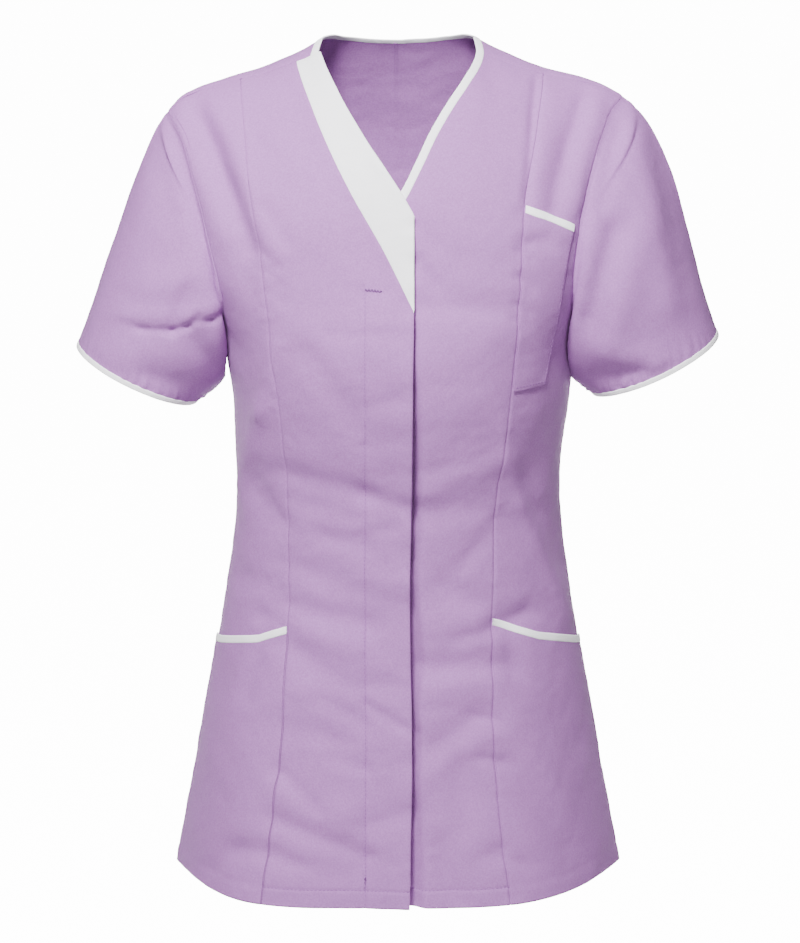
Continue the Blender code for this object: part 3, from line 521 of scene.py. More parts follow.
# Materials.
def new_material(name):
    made = bpy.data.materials.new(name)
    made.use_nodes = True
    return made, made.node_tree, made.node_tree.nodes["Principled BSDF"]


def fill(tree, node, values):
    """Sets a node's inputs, each to a number, to a colour or to another node's output."""
    for name, value in values.items():
        if isinstance(value, bpy.types.NodeSocket):
            tree.links.new(value, node.inputs[name])
        else:
            node.inputs[name].default_value = value
    return node


def add(tree, kind, values):
    return fill(tree, tree.nodes.new("ShaderNode" + kind), values)


def cloth_material(name, colour, shade, weave):
    made, tree, shader = new_material(name)
    place = tree.nodes.new("ShaderNodeTexCoord").outputs["Object"]
    uv = tree.nodes.new("ShaderNodeUVMap")
    uv.uv_map = "cloth"
    threads = []
    for direction in ("X", "Y"):
        wave = {"Scale": weave, "Distortion": 0.6, "Detail": 1.0, "Vector": uv.outputs["UV"]}
        wave = add(tree, "TexWave", wave)
        wave.wave_type, wave.bands_direction, wave.wave_profile = "BANDS", direction, "SIN"
        threads.append(wave.outputs["Fac"])
    weave_height = add(tree, "Math", {0: threads[0], 1: threads[1]})
    weave_height.operation = "MULTIPLY"
    crumple = add(tree, "TexNoise", {"Scale": 95, "Detail": 4, "Roughness": 0.55, "Vector": place})
    fine = add(tree, "Bump", {"Strength": 0.25, "Distance": 0.0002, "Height": weave_height.outputs[0]})
    broad = add(tree, "Bump", {"Strength": 0.3, "Distance": 0.0016, "Height": crumple.outputs["Fac"],
                               "Normal": fine.outputs["Normal"]})
    mottle = add(tree, "TexNoise", {"Scale": 750, "Detail": 2, "Vector": place})
    spread = add(tree, "MapRange", {"From Min": 0.32, "From Max": 0.68, "Value": mottle.outputs["Fac"]})
    mix = tree.nodes.new("ShaderNodeMix")
    mix.data_type = "RGBA"
    fill(tree, mix, {"Factor": spread.outputs["Result"], "A": (*shade, 1), "B": (*colour, 1)})
    fill(tree, shader, {"Roughness": 0.75, "Specular IOR Level": 0.15, "Sheen Weight": 0.03,
                        "Sheen Roughness": 0.45, "Normal": broad.outputs["Normal"],
                        "Base Color": mix.outputs["Result"]})
    made.diffuse_color = (*colour, 1)
    return made


LILAC = cloth_material("lilac_polycotton", (0.395, 0.168, 0.46), (0.325, 0.132, 0.385), 900)
WHITE = cloth_material("white_polycotton", (0.97, 0.96, 1.0), (0.94, 0.93, 0.97), 900)
# The stitches' thread is really the cloth's own lilac. This colour is darkened from it to paint the shade
# along the stitch lines.
PAINTED_SHADE_THREAD = cloth_material("lilac_thread_painted_shade", (0.25, 0.10, 0.31), (0.21, 0.085, 0.27), 2400)
MATERIALS = {"lilac_cloth": LILAC, "white_cloth": WHITE}


def piece(name, points, faces, slot, uvs=None, replaces=(), finish=None):
    """A mesh piece from points in millimetres. uvs is one pair for each point."""
    mesh = bpy.data.meshes.new(name)
    mesh.from_pydata((points * MM).tolist(), [], faces)
    if uvs is not None:
        layer = mesh.uv_layers.new(name="cloth")
        corners = np.zeros(len(mesh.loops), int)
        mesh.loops.foreach_get("vertex_index", corners)
        layer.data.foreach_set("uv", (uvs[corners] * MM).reshape(-1).astype(np.float32))
    mesh.shade_smooth()
    mesh.set_sharp_from_angle(angle=SHARP_ANGLE)
    mesh.materials.append(finish or MATERIALS[slot])
    made = bpy.data.objects.new(name, mesh)
    bpy.context.scene.collection.objects.link(made)
    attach(made, "root")
    if replaces:
        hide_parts(*replaces)
    return made


def grid_uvs(grid):
    return np.stack(arcs(grid), axis=-1).reshape(-1, 2)


def tube_faces(rows, columns, start=0, closed=False):
    """Quads round a tube of rings. It closes on itself, or has a face at each end."""
    points = (np.arange(rows * columns) + start).reshape(rows, columns).tolist()
    faces = []
    for i in range(rows if closed else rows - 1):
        here, ahead = points[i], points[(i + 1) % rows]
        for j in range(columns):
            k = (j + 1) % columns
            faces.append([here[j], here[k], ahead[k], ahead[j]])
    return faces if closed else faces + [points[0][::-1], points[-1]]


def wall(name, grid, normals, slot="lilac_cloth", wanted=None, flip=False, closed=False, lift=0.0):
    """A sheet of cloth with two faces and a rim, from a grid of points. Coincident points are welded.
    It takes the place of the solid of its own name."""
    rows, columns = grid.shape[:2]
    points, outs = grid.reshape(-1, 3), normals.reshape(-1, 3)
    _, first, names = np.unique(np.round(points, 3) + 0.0, axis=0, return_index=True, return_inverse=True)
    same = first[names.reshape(-1)]
    i, j = np.meshgrid(np.arange(rows - 1), np.arange(columns if closed else columns - 1), indexing="ij")
    k = (j + 1) % columns
    row, ahead = i * columns, (i + 1) * columns
    quads = np.stack([row + j, row + k, ahead + k, ahead + j], axis=-1).reshape(-1, 4)
    if wanted is not None:
        quads = quads[wanted.reshape(-1)]
    quads = same[quads]
    if flip:
        quads = quads[:, ::-1]
    shells = []
    for quad in quads.tolist():
        corners = [v for n, v in enumerate(quad) if v != quad[n - 1]]
        if len(corners) > 2:
            shells.append(corners)
    edges = dict.fromkeys((face[n - 1], v) for face in shells for n, v in enumerate(face))
    rims = [(a, b) for a, b in edges if (b, a) not in edges]
    used = np.unique(np.concatenate([np.array(face) for face in shells]))
    order = np.zeros(len(points), int)
    order[used] = np.arange(len(used))
    outer = points[used] + outs[used] * (lift + CLOTH / 2)
    inner = points[used] + outs[used] * (lift - CLOTH / 2)
    count = len(used)
    faces = [[order[v] for v in face] for face in shells]
    faces += [[order[v] + count for v in reversed(face)] for face in shells]
    faces += [[order[b], order[a], order[a] + count, order[b] + count] for a, b in rims]
    uvs = grid_uvs(grid)[used]
    replaces = [name.removeprefix("cloth_")]
    return piece(name, np.concatenate([outer, inner]), faces, slot, np.concatenate([uvs, uvs]), replaces)


def drawn_in(grid, sides, distance=SEAM_GAP / 2):
    """A panel's grid with its named edges moved in by half of a seam's gap."""
    grid = grid.copy()
    for side, edge, inner in (
        ("left", (slice(None), 0), (slice(None), 1)),
        ("right", (slice(None), -1), (slice(None), -2)),
        ("high", (-1,), (-2,)),
    ):
        if side in sides:
            grid[edge] += unit(grid[inner] - grid[edge]) * distance
    return grid


def edge_first(values, edge):
    """A grid turned so that its named edge is its first row."""
    if edge in ("left", "right"):
        values = np.swapaxes(values, 0, 1)
    return values[::-1] if edge == "right" else values


def edge_back(values, edge):
    """The same grid turned back."""
    values = values[::-1] if edge == "right" else values
    return np.swapaxes(values, 0, 1) if edge in ("left", "right") else values


def turned_in(grid, outs, edge, count, depth=1.0, along=None):
    """The grid with its cloth folded to the inside along one edge, as far back as `count` points."""
    g, n = edge_first(grid, edge), edge_first(outs, edge)
    away = unit(g[:1] - g[1:2])
    back = g[count::-1] - n[count::-1] * depth
    bend = g[:1] + away * depth * 0.35 - n[:1] * depth / 2
    back_outs = -n[count::-1]
    if along is not None:
        along = along[None, :, None]
        back, bend = np.where(along, back, g[:1]), np.where(along, bend, g[:1])
        back_outs, away = np.where(along, back_outs, n[:1]), np.where(along, away, n[:1])
    g, n = np.concatenate([back, bend, g]), np.concatenate([back_outs, away, n])
    return edge_back(g, edge), edge_back(n, edge)


def lapped(grid, outs, edge, under, under_outs, depth=1.05, join=None):
    """The grid with its seam allowance laid under the next piece. Its points run outwards from the seam."""
    g, n = edge_first(grid, edge), edge_first(outs, edge)
    if edge in ("left", "right"):
        under, under_outs = np.swapaxes(under, 0, 1), np.swapaxes(under_outs, 0, 1)
    under, under_outs = under[::-1], under_outs[::-1]
    join = depth if join is None else join
    strip = np.concatenate([under - under_outs * depth, g[:1] - n[:1] * join])
    g, n = np.concatenate([strip, g]), np.concatenate([under_outs, n[:1], n])
    return edge_back(g, edge), edge_back(n, edge)


# The four quarters of the body.
LAPEL_COLUMN = CELLS["lapel"]
PLACKET_COLUMN = LAPEL_COLUMN + CELLS["placket"]
PRINCESS_COLUMN = {RIGHT: PLACKET_COLUMN + CELLS["centre"], LEFT: CELLS["whole_centre"]}
POCKET_COLUMN = {side: PRINCESS_COLUMN[side] + CELLS["inner_side"] for side in (RIGHT, LEFT)}
grids = {}
for side in (RIGHT, LEFT):
    grids[side, FRONT] = front_grid(side)
    top = grids[side, FRONT][-1].copy()
    if side == RIGHT:
        start, end = SEAM_NECK_END, -top[LAPEL_COLUMN, 0]
        xs = start + (-top[:LAPEL_COLUMN, 0] + top[0, 0]) * (end - start) / (end + top[0, 0])
        heights = smooth(STATIONS, SEAMS[side], xs)
        top[:LAPEL_COLUMN] = np.stack([side * xs, ridge(side, "seam", xs), heights], axis=-1)
    grids[side, BACK] = back_grid(side, np.concatenate([top[:-1:2], top[-1:]]))
over_neck = {}
for key, grid in grids.items():
    wanted = np.ones((grid.shape[0] - 1, grid.shape[1] - 1), bool)
    if key[1] == BACK:
        wanted[ROWS - 1 :, : CELLS["back_neck"]] = False
    over_neck[key] = wanted


def body_normals():
    keys = list(grids)
    sums = [grid_normals(grids[k], over_neck[k]) * (1 if k[0] * k[1] == -1 else -1) for k in keys]
    return dict(zip(keys, weld_normals(sums, [grids[k] for k in keys])))


def quarter(side, face):
    return grids[side, face], normals[side, face]


normals = body_normals()
for (side, face), grid in list(grids.items()):
    grids[side, face] = grid + normals[side, face] * drape(side, face, grid, normals[side, face])[..., None]
normals = body_normals()

# The body's panels. Hems and fly edges are folded in, and seam allowances lie under the next panel.
HEM_TURN, FLY_TURN, LAPEL_TURN = 11, 9, 5  # rows or columns of points
ALLOWANCE, BACK_ALLOWANCE = 9.0, 5.5


def beside(grid, column, width):
    """How many columns before (or, with a negative width, after) this one lie within a seam allowance."""
    run = np.abs(arcs(grid)[0] - arcs(grid)[0][:, column : column + 1 or None]).mean(axis=0)
    near = np.nonzero(run <= abs(width))[0]
    column %= grid.shape[1]
    return max(1, int(np.sum(near < column) if width > 0 else np.sum(near > column)))


grid, outs = quarter(RIGHT, FRONT)
tip = int(np.max(np.nonzero(np.linalg.norm(grid[:, LAPEL_COLUMN] - grid[:, 0], axis=1) < 0.01)[0]))
for side, word in SIDES:
    (grid, outs), p = quarter(side, FRONT), PRINCESS_COLUMN[side]
    back, back_outs = quarter(side, BACK)
    first = LAPEL_COLUMN if side == RIGHT else 0
    fly = np.arange(ROWS) <= tip if side == RIGHT else grid[:, 0, 0] < -OVERLAP + 0.05
    flip = side == RIGHT
    g, n = drawn_in(grid[:, first : p + 1], "right high"), outs[:, first : p + 1]
    g, n = turned_in(g, n, "low", HEM_TURN)
    fly = np.concatenate([np.zeros(HEM_TURN + 2, bool), fly & (np.arange(ROWS) > HEM_TURN)])
    g, n = turned_in(g, n, "left", FLY_TURN, along=fly)
    wall(f"cloth_front_{word}_centre", g, n, flip=flip)
    g, n = drawn_in(grid[:, p:], "left right high"), outs[:, p:]
    count = beside(grid, p, ALLOWANCE)
    g, n = lapped(g, n, "left", grid[:, p - count : p][:, ::-1], outs[:, p - count : p][:, ::-1])
    under, own = slice(-beside(back[:FIRST_HIGH], -1, ALLOWANCE) - 1, -1), g.shape[1]
    g, n = lapped(g, n, "right", back[:ROWS, under][:, ::-1], back_outs[:ROWS, under][:, ::-1])
    g, n = turned_in(g, n, "low", HEM_TURN)
    wanted = np.ones((g.shape[0] - 1, g.shape[1] - 1), bool)
    wanted[HEM_TURN + 2 + FIRST_HIGH - 1 :, own - 1 :] = False  # the side seam ends at the underarm
    wall(f"cloth_front_{word}_side", g, n, wanted=wanted, flip=flip)
    g, n, wanted = drawn_in(back, "left right"), back_outs, over_neck[side, BACK]
    if side == LEFT:
        other, other_outs = quarter(RIGHT, BACK)
        count = beside(other, 0, -BACK_ALLOWANCE)
        g, n = lapped(g, n, "left", other[:, 1 : count + 1], other_outs[:, 1 : count + 1], join=0.05)
        wanted = np.concatenate([wanted[:, :1]] * (count + 1) + [wanted], axis=1)
    g, n = turned_in(g, n, "low", HEM_TURN)
    wanted = np.concatenate([np.ones((HEM_TURN + 2, wanted.shape[1]), bool), wanted])
    wall(f"cloth_back_{word}", g, n, wanted=wanted, flip=side == LEFT)
grid, outs = quarter(RIGHT, FRONT)
g, n = drawn_in(grid[tip:, : LAPEL_COLUMN + 1], "right high"), outs[tip:, : LAPEL_COLUMN + 1]
under = slice(LAPEL_COLUMN + 1, LAPEL_COLUMN + 1 + beside(grid, LAPEL_COLUMN, -ALLOWANCE))
g, n = lapped(g, n, "right", grid[tip:, under], outs[tip:, under])
g, n = turned_in(g, n, "left", LAPEL_TURN)
wall("cloth_lapel", g, n, "white_cloth", flip=True)


# Sleeves.
def armhole_loop(side):
    points, outs, places = [], [], []
    for half, face in enumerate((FRONT, BACK)):
        rows = slice(None, FIRST_HIGH - 2, -1)
        line, line_outs = grids[side, face][rows, -1], normals[side, face][rows, -1]
        run = run_along(line)
        share = run / run[-1] / 2
        keep = slice(0, None) if half == 0 else slice(-2, 0, -1)
        points.append(line[keep])
        outs.append(line_outs[keep])
        places.append((share if half == 0 else 1 - share)[keep])
    return np.concatenate(points), np.concatenate(outs), np.concatenate(places)


SLEEVE_STAND = 0.6  # how far the sleeve starts out from the armhole's edge, and off the panels
SAG, SAG_PLACE, SAG_SPREAD = (9.0, 9.0, -4.0), 0.44, 0.12  # of the sleeve's underside
BODY_CLEARANCE = 2.2
SLEEVE_ALLOWANCE, SLEEVE_UNDER = (5, 2, 0), 1.1  # how far back it lies inside the body, and how deep
CREST_ROUND, CREST_REACH = 0.014, 0.07  # shares of the armhole's length
SUNK_BACK, SUNK_FRONT = 1.5, {RIGHT: 3.5, LEFT: 1.8}  # how deep the sleeve's head lies beside its seam


def sleeve_grid(side, shares):
    made = SLEEVE[side]
    points, outs, places = armhole_loop(side)
    turn = 2 * math.pi * places
    across = np.array(made["across"], float)
    axis = unit(np.array((across[2] * side, SLEEVE_LEAN, -abs(across[0])), float))
    radial = np.cos(turn)[:, None] * across + np.sin(turn)[:, None] * np.array((0, -made["depth"], 0))
    end = np.array(made["hem"], float) + radial
    radial = unit(radial)
    top = (1 + np.cos(turn))[:, None] / 2
    leaving = unit(axis + (SLEEVE_SPREAD_LOW + (made["spread"] - SLEEVE_SPREAD_LOW) * top) * radial)
    turn_in = SLEEVE_TURN[0] + (SLEEVE_TURN[1] - SLEEVE_TURN[0]) * (1 - top) ** 2
    arriving = unit(axis - turn_in * radial)
    along = unit(np.roll(points, -1, axis=0) - np.roll(points, 1, axis=0))
    aside = unit(np.cross(along, outs))
    aside *= np.sign(np.sum(aside * (points.mean(axis=0) - points), axis=1))[:, None]
    across_seam = unit(leaving - along * np.sum(leaving * along, axis=1)[:, None])
    cosine = np.sum(across_seam * aside, axis=1)
    sine = np.clip(np.sum(across_seam * outs, axis=1), 0, 1)
    clear = SEAM_GAP + SLEEVE_STAND
    shift = SEAM_GAP / 2 + SLEEVE_STAND * sine
    back = np.where(cosine < 0, (clear - (shift + SEAM_GAP / 2) * sine) / np.maximum(-cosine, 0.05), 0)
    raise_by = (SLEEVE_STAND + np.clip(back, 0, clear)) * step(-0.6, 0.1, -cosine)
    start = points + aside * shift[:, None] + outs * raise_by[:, None]
    reach = SLEEVE_REACH_LOW + (made["reach_top"] - SLEEVE_REACH_LOW) * top
    run_in = SLEEVE_END[1] + (SLEEVE_END[0] - SLEEVE_END[1]) * top
    cloth_end = end - arriving * SLEEVE_BINDING
    t = shares[:, None, None]
    rows = (
        (1 - t) ** 3 * start
        + 3 * t * (1 - t) ** 2 * (start + leaving * reach)
        + 3 * t * t * (1 - t) * (cloth_end - arriving * run_in)
        + t**3 * cloth_end
    )
    low = np.exp(-(((places - SAG_PLACE) / SAG_SPREAD) ** 2))[:, None] * np.sin(math.pi * t**0.75)
    rows = rows + low * np.array((-side * SAG[0], SAG[1], SAG[2]))
    names = ("half_width", "front", "square", "blunt")
    half_width, front, square, blunt = (torso(name, rows[..., 2]) for name in names)
    ring = np.clip(1 - (np.abs(rows[..., 1]) / front) ** blunt, 0, 1)
    body = half_width * ring ** (1 / square) + BODY_CLEARANCE
    clear_of_body = np.maximum(np.abs(rows[..., 0]), body)
    rows[..., 0] += step(0.02, 0.15, t[..., 0]) * (side * clear_of_body - rows[..., 0])
    # The fold over the shoulder's end is rounded, with its crest left where it is.
    gap = places[:, None] - places
    gap -= np.round(gap)
    weight = np.exp(-((gap / CREST_ROUND) ** 2)) * ((np.roll(places, -1) - np.roll(places, 1)) % 1)
    rounded = np.einsum("ij,rjk->rik", weight / weight.sum(axis=1, keepdims=True), rows)
    rounded += (rows - rounded)[:, :1]
    crest = np.exp(-((np.minimum(places, 1 - places) / CREST_REACH) ** 2))[:, None] * step(0, 0.12, t)
    rows = rows + crest * (rounded - rows)
    under = points - outs * SLEEVE_UNDER
    strip = np.stack([under - aside * back for back in SLEEVE_ALLOWANCE])
    return np.concatenate([strip, rows, end[None]]), places


def loop_normals(grid, turned):
    closed = np.concatenate([grid, grid[:, :1]], axis=1)
    sums = grid_normals(closed)
    sums[:, 0] += sums[:, -1]
    return unit(sums[:, :-1]) * (-1 if turned else 1)


def sleeve_relief(side, rows, outs, places):
    around, down = arcs(rows)
    left = down[-2:-1] - down
    low = (1 - np.cos(2 * math.pi * places)) / 2
    under = int(np.argmin(np.abs(places - 0.5)))
    creases = crease_depth(SLEEVE_CREASES[side], rows, outs, SLEEVE_FACING)
    shift = RELIEF * creases * step(0, 12, down) * step(0, 12, left)
    shift += (0.35 * unevenness(rows, 70, 11) + 0.07 * unevenness(rows, 18, 12)) * step(0, 10, down)
    shift += 0.3 * ripple(around, 13, 2 + side) * np.exp(-down / 9) * step(0, 3, down) * (1 - low)
    free = np.maximum(left, 0)
    tucked = np.exp(-free / 9) * (1 - np.exp(-((free / 2.5) ** 2)))
    broad, fine = ripple(around, 10.5, 4 + side), ripple(around, 6.3, 7 + side)
    shift += tucked * ((0.7 + 1.3 * low) * broad + (0.3 + 0.5 * low) * fine)
    sunk = np.where(places < 0.5, SUNK_FRONT[side], SUNK_BACK)
    sunk = sunk * np.sin(math.pi * np.clip(places * 2 % 1, 0.02, 1)) ** 0.5
    shift -= sunk * np.exp(-((down / 12) ** 2)) * step(0, 2.5, down)
    shift -= 0.5 * np.exp(-(((around - around[:, under : under + 1]) / 1.1) ** 2)) * step(0, 4, down)
    return shift


def band(name, path, outs, aside, width, closed=False, thickness=BINDING_THICKNESS, flip=False, replaces=()):
    """A folded strip of binding: path is the line where it is sewn, and aside points to its free edge."""
    profile = []
    for turn in np.linspace(0, 2 * math.pi, 18, endpoint=False):
        c, s = math.cos(turn), math.sin(turn)
        profile.append((math.copysign(abs(c) ** 0.5, c), math.copysign(abs(s) ** 0.6, s)))
    profile = np.array(profile)
    width, thickness = (np.broadcast_to(v, len(path))[:, None] for v in (width, thickness))
    centre = path + aside * width / 2
    grid = (
        centre[:, None]
        + aside[:, None] * (profile[:, 0] * width / 2)[..., None]
        + outs[:, None] * (profile[:, 1] * thickness / 2)[..., None]
    )
    rows, columns = grid.shape[:2]
    faces = tube_faces(rows, columns, closed=closed)
    if flip:
        faces = [face[::-1] for face in faces]
    run = run_along(path)
    girth = np.arange(columns) * (2 * width.mean() / columns)
    uvs = np.stack(np.broadcast_arrays(run[:, None], girth[None]), axis=-1).reshape(-1, 2)
    return piece(name, grid.reshape(-1, 3), faces, "white_cloth", uvs, replaces)


for side, word in SIDES:
    rows, places = sleeve_grid(side, np.linspace(0, 1, 70))
    outs = loop_normals(rows, side == RIGHT)
    free = len(SLEEVE_ALLOWANCE)
    rows[free:] += outs[free:] * sleeve_relief(side, rows[free:], outs[free:], places)[..., None]
    outs = loop_normals(rows, side == RIGHT)
    wall(f"cloth_sleeve_{word}", rows[:-1], outs[:-1], flip=side == RIGHT, closed=True)
    aside = unit(rows[-1] - rows[-2])
    band(f"bound_sleeve_{word}", rows[-2] - aside * EDGE_IN_BINDING, outs[-2], aside,
         SLEEVE_BINDING + EDGE_IN_BINDING, closed=True, flip=side == RIGHT,
         replaces=[f"sleeve_binding_{word}"])


# The neck binding.
def neck_path():
    points, outs, neck = [], [], CELLS["back_neck"]
    for side in (RIGHT, LEFT):
        grid, grid_outs = quarter(side, BACK)
        half = [(grid[row, neck], grid_outs[row, neck]) for row in range(ROWS - 1 + OVER_RIDGE, ROWS - 1, -1)]
        half += [(grid[ROWS - 1, j], grid_outs[ROWS - 1, j]) for j in range(neck, -1, -1)]
        half = half if side == RIGHT else half[::-1][1:]
        points += [p for p, _ in half]
        outs += [n for _, n in half]
    grid, grid_outs = quarter(LEFT, FRONT)
    for row in range(ROWS - 2, -1, -1):
        points.append(grid[row, 0])
        outs.append(grid_outs[row, 0])
        if grid[row, 0, 2] < NECKLINE[LEFT]["height"].min():
            break
    return np.array(points), np.array(outs)


path, outs = neck_path()
along = unit(np.gradient(path, axis=0))
aside = unit(np.cross(along, outs))
path[0] += along[0] * 0.6
rolled = step(34, 52, path[:, 1])  # the binding is narrower and thinner behind the neck
band("bound_neck", path - aside * EDGE_IN_BINDING, outs, aside, NECK_BINDING + EDGE_IN_BINDING - 2.3 * rolled,
     thickness=BINDING_THICKNESS - 0.6 * rolled, flip=True, replaces=["neck_binding"])


# Pockets.
def at_heights(values, columns, heights, grid):
    return np.array(
        [[np.interp(h, grid[:, j, 2], values[:, j, k]) for k in range(3)] for j, h in zip(columns, heights)]
    )


def pocket(name, side, low, high, bottom, top):
    """Low and high are the panel's columns at the pocket's sides. Top is the heights of its top corners."""
    columns = np.arange(low, high + 1)
    grid, outs = quarter(side, FRONT)
    run = run_along(grid[FIRST_HIGH, columns])
    upper = top[0] + (top[1] - top[0]) * run / run[-1]
    split = upper - POCKET_BINDING
    rows = int((np.mean(split) - bottom) / POCKET_ROW)
    levels = [bottom + (split - bottom) * t for t in np.linspace(0, 1, rows + 1)] + [upper]
    made = np.array([at_heights(grid, columns, heights, grid) for heights in levels])
    made_outs = unit(np.array([at_heights(outs, columns, heights, grid) for heights in levels]))
    made = drawn_in(made, "left right", POCKET_INSET)
    flip = side == RIGHT
    wall("cloth_" + name, made[:-1], made_outs[:-1], flip=flip, lift=POCKET_LIFT)
    path, path_outs = made[-2] + made_outs[-2] * POCKET_LIFT, made_outs[-2]
    aside = unit(made[-1] - made[-2])
    band("bound_" + name, path - aside * EDGE_IN_BINDING, path_outs, aside, POCKET_BINDING, flip=flip,
         replaces=[name.replace("pocket", "pocket_binding")])
    return made, made_outs


for side, word in SIDES:
    last = grids[side, FRONT].shape[1] - 1
    pocket(f"hip_pocket_{word}", side, PRINCESS_COLUMN[side], last, HIP_POCKET_BOTTOM, HIP_POCKET_TOP[side])
pen_pocket = pocket("chest_pocket", LEFT, PRINCESS_COLUMN[LEFT], POCKET_COLUMN[LEFT], CHEST_POCKET_BOTTOM,
                    CHEST_POCKET_TOP)


# Stitching.
def stitching(name, lines, length=2.4, space=0.9, radius=0.26):
    """Rows of stitches. Each line is its points on the cloth's outer side and their normals."""
    points, faces = [], []
    for path, outs in lines:
        run = run_along(path)
        count = int(run[-1] / (length + space))
        for i in range(count):
            start = (i + 0.5) * run[-1] / count - length / 2
            rings = []
            for t, lift, size in ((0, -0.6, 0.5), (0.3, 0.5, 1), (0.7, 0.5, 1), (1, -0.6, 0.5)):
                at = start + length * t
                out = unit(point_at(at, run, outs))
                aside = unit(np.cross(out, point_at(at + 0.4, run, path) - point_at(at - 0.4, run, path)))
                centre = point_at(at, run, path) + out * radius * lift
                for c, s in ((1, 0), (0, 1), (-1, 0), (0, -1)):
                    rings.append(centre + aside * radius * size * c + out * radius * size * s)
            faces += tube_faces(4, 4, start=len(points))
            points += rings
    # The stitches take the darkened thread colour, which is painted shade along each stitch line.
    return piece(name, np.array(points), faces, "lilac_cloth", finish=PAINTED_SHADE_THREAD)


def on_cloth(grid, outs, rows, columns, lift=CLOTH / 2):
    return grid[rows, columns] + outs[rows, columns] * lift, outs[rows, columns]


hem_row = int(np.argmin(np.abs(LOW - HEM_STITCH)))
hem_lines = [on_cloth(grids[key], normals[key], hem_row, slice(1, -1)) for key in grids]
stitching("stitched_hem", hem_lines)
grid, outs = quarter(RIGHT, FRONT)
made, made_outs = pen_pocket
lift = POCKET_LIFT + CLOTH / 2
PEN_STITCH_INSET, FLY_STITCHED, LOW_TACK = 1.6, (-690, -176), -677
inset = unit(made[:, -2] - made[:, -1]) * PEN_STITCH_INSET
pen_edge = made[:-1, -1] + inset[:-1] + made_outs[:-1, -1] * lift, made_outs[:-1, -1]
pen_foot = made[1, 2:-1] + made_outs[1, 2:-1] * lift, made_outs[1, 2:-1]
stitching("stitched_chest_pocket", [pen_edge, pen_foot])
heights = grid[:, PLACKET_COLUMN, 2]
fly_rows = np.nonzero((heights < FLY_STITCHED[1]) & (heights > FLY_STITCHED[0]))[0]
fly_line = on_cloth(grid, outs, fly_rows, PLACKET_COLUMN)


def across_cloth(grid, outs, row, xs):
    """Points on the cloth's outer side along one row, at these values of x."""
    order = np.argsort(grid[row, :, 0])
    run = grid[row, order, 0]
    here, out = (np.array([point_at(x, run, values[row, order]) for x in xs]) for values in (grid, outs))
    return here + out * CLOTH / 2, out


tack_row = int(fly_rows[-1])
tack, tack_outs = across_cloth(grid, outs, tack_row, np.arange(-PLACKET, -12.6, 0.4))
tack[:, 2] += 1.0 * np.sin(np.arange(len(tack)) * 1.05) + 1.6 - 1.4 * np.linspace(0, 1, len(tack)) ** 2
low_row = int(np.argmin(np.abs(LOW - LOW_TACK)))
low_tack, low_outs = across_cloth(grid, outs, low_row, np.full(9, -PLACKET - 0.6))
low_tack[:, 0] += 0.9 * np.sin(np.arange(9) * 2.4)
low_tack[:, 2] += 6.0 * np.linspace(-1, 1, 9)
stitching("stitched_fly", [fly_line])
stitching("stitched_tacks", [(tack, tack_outs), (low_tack, low_outs)], length=0.9, space=0.0, radius=0.5)

# The studs between the fronts are the CAD part's own, in brushed metal.
METAL, tree, shader = new_material("stud_metal_brushed")
scratches = add(tree, "TexNoise", {"Scale": 1500}).outputs["Fac"]
rough = add(tree, "MapRange", {"To Min": 0.25, "To Max": 0.45, "Value": scratches})
bump = add(tree, "Bump", {"Strength": 0.2, "Distance": 0.0001, "Height": scratches})
fill(tree, shader, {"Metallic": 1.0, "Base Color": (0.6, 0.6, 0.62, 1), "Roughness": rough.outputs["Result"],
                    "Normal": bump.outputs["Normal"]})
for name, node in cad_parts.items():
    if name.startswith("stud"):
        for material_slot in node.material_slots:
            material_slot.link, material_slot.material = "OBJECT", METAL

# The studio.
camera_data = bpy.data.cameras.new("camera")
SENSOR = 36
camera_data.sensor_fit, camera_data.sensor_height = "VERTICAL", SENSOR
camera_data.lens = SENSOR * FOCAL_PIXELS / IMAGE[1]
camera_data.clip_end = 100
camera = bpy.data.objects.new("camera", camera_data)
camera.location = (
    TARGET[0] * MM,
    (TARGET[1] - DISTANCE * math.cos(PITCH)) * MM,
    (TARGET[2] + DISTANCE * math.sin(PITCH)) * MM,
)
camera.rotation_euler = (math.pi / 2 - PITCH, 0, 0)
bpy.context.scene.collection.objects.link(camera)
bpy.context.scene.camera = camera

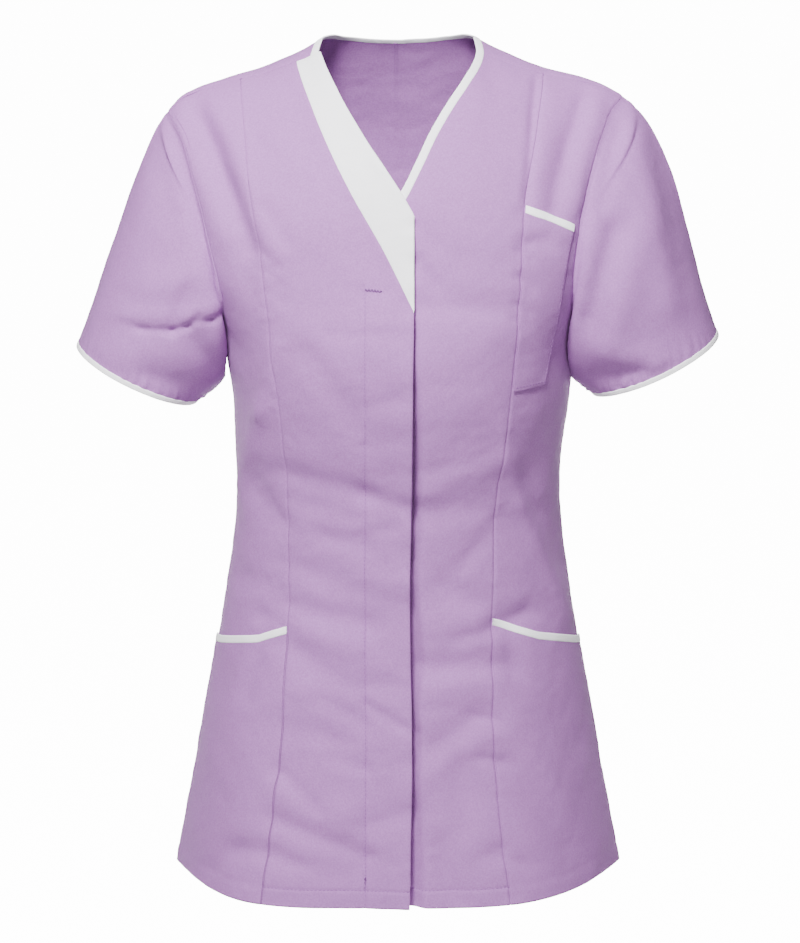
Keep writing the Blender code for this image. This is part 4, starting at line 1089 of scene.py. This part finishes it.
floor_mesh = bpy.data.meshes.new("floor")
FLOOR_HALF, FLOOR_LEVEL, SWEEP_GLOW, WORLD_GLOW = 30, -1.4, 14.0, 0.12
corners = [(x * FLOOR_HALF, y * FLOOR_HALF, FLOOR_LEVEL) for x, y in ((-1, -1), (1, -1), (1, 1), (-1, 1))]
floor_mesh.from_pydata(corners, [], [(0, 1, 2, 3)])
floor = bpy.data.objects.new("floor", floor_mesh)
bpy.context.scene.collection.objects.link(floor)
floor_material, tree, shader = new_material("floor")
# The floor behind the garment is lit like a photographer's sweep. Near it the floor only reflects.
floor_place = add(tree, "SeparateXYZ", {"Vector": tree.nodes.new("ShaderNodeTexCoord").outputs["Object"]})


def floor_ramp(axis, low, high):
    ramp = add(tree, "MapRange", {"From Min": low, "From Max": high, "Value": floor_place.outputs[axis]})
    ramp.interpolation_type = "SMOOTHSTEP"
    return ramp.outputs["Result"]


glow = floor_ramp("Y", 1.15, 1.6)
for axis, start, end in (("Y", 12.0, 9.5), ("X", 2.2, 1.3), ("X", -2.2, -1.3)):
    product = add(tree, "Math", {0: glow, 1: floor_ramp(axis, start, end)})
    product.operation = "MULTIPLY"
    glow = product.outputs[0]
fill(tree, shader, {"Base Color": (0.95, 0.95, 0.95, 1), "Roughness": 0.9, "Emission Color": glow,
                    "Emission Strength": SWEEP_GLOW})
floor_mesh.materials.append(floor_material)

world = bpy.data.worlds.new("studio")
world.use_nodes = True
fill(world.node_tree, world.node_tree.nodes["Background"], {"Color": (1, 1, 1, 1), "Strength": WORLD_GLOW})
bpy.context.scene.world = world


def area_light(name, place, aim, size, power):
    data = bpy.data.lights.new(name, "AREA")
    data.size, data.energy = size, power
    light = bpy.data.objects.new(name, data)
    light.location = place
    direction = np.array(aim, float) - np.array(place, float)
    flat = math.hypot(direction[0], direction[1])
    turn = math.atan2(direction[1], direction[0]) - math.pi / 2
    light.rotation_euler = (math.atan2(flat, -direction[2]), 0, turn)
    bpy.context.scene.collection.objects.link(light)


area_light("key", (-0.35, -1.45, 1.5), (0, 0, -0.15), 0.45, 160)
area_light("front", (0.5, -4.2, 1.6), (0, 0, -0.1), 1.0, 32)
area_light("back", (0.3, 2.6, 1.6), (0, 0, -0.3), 2.0, 25)
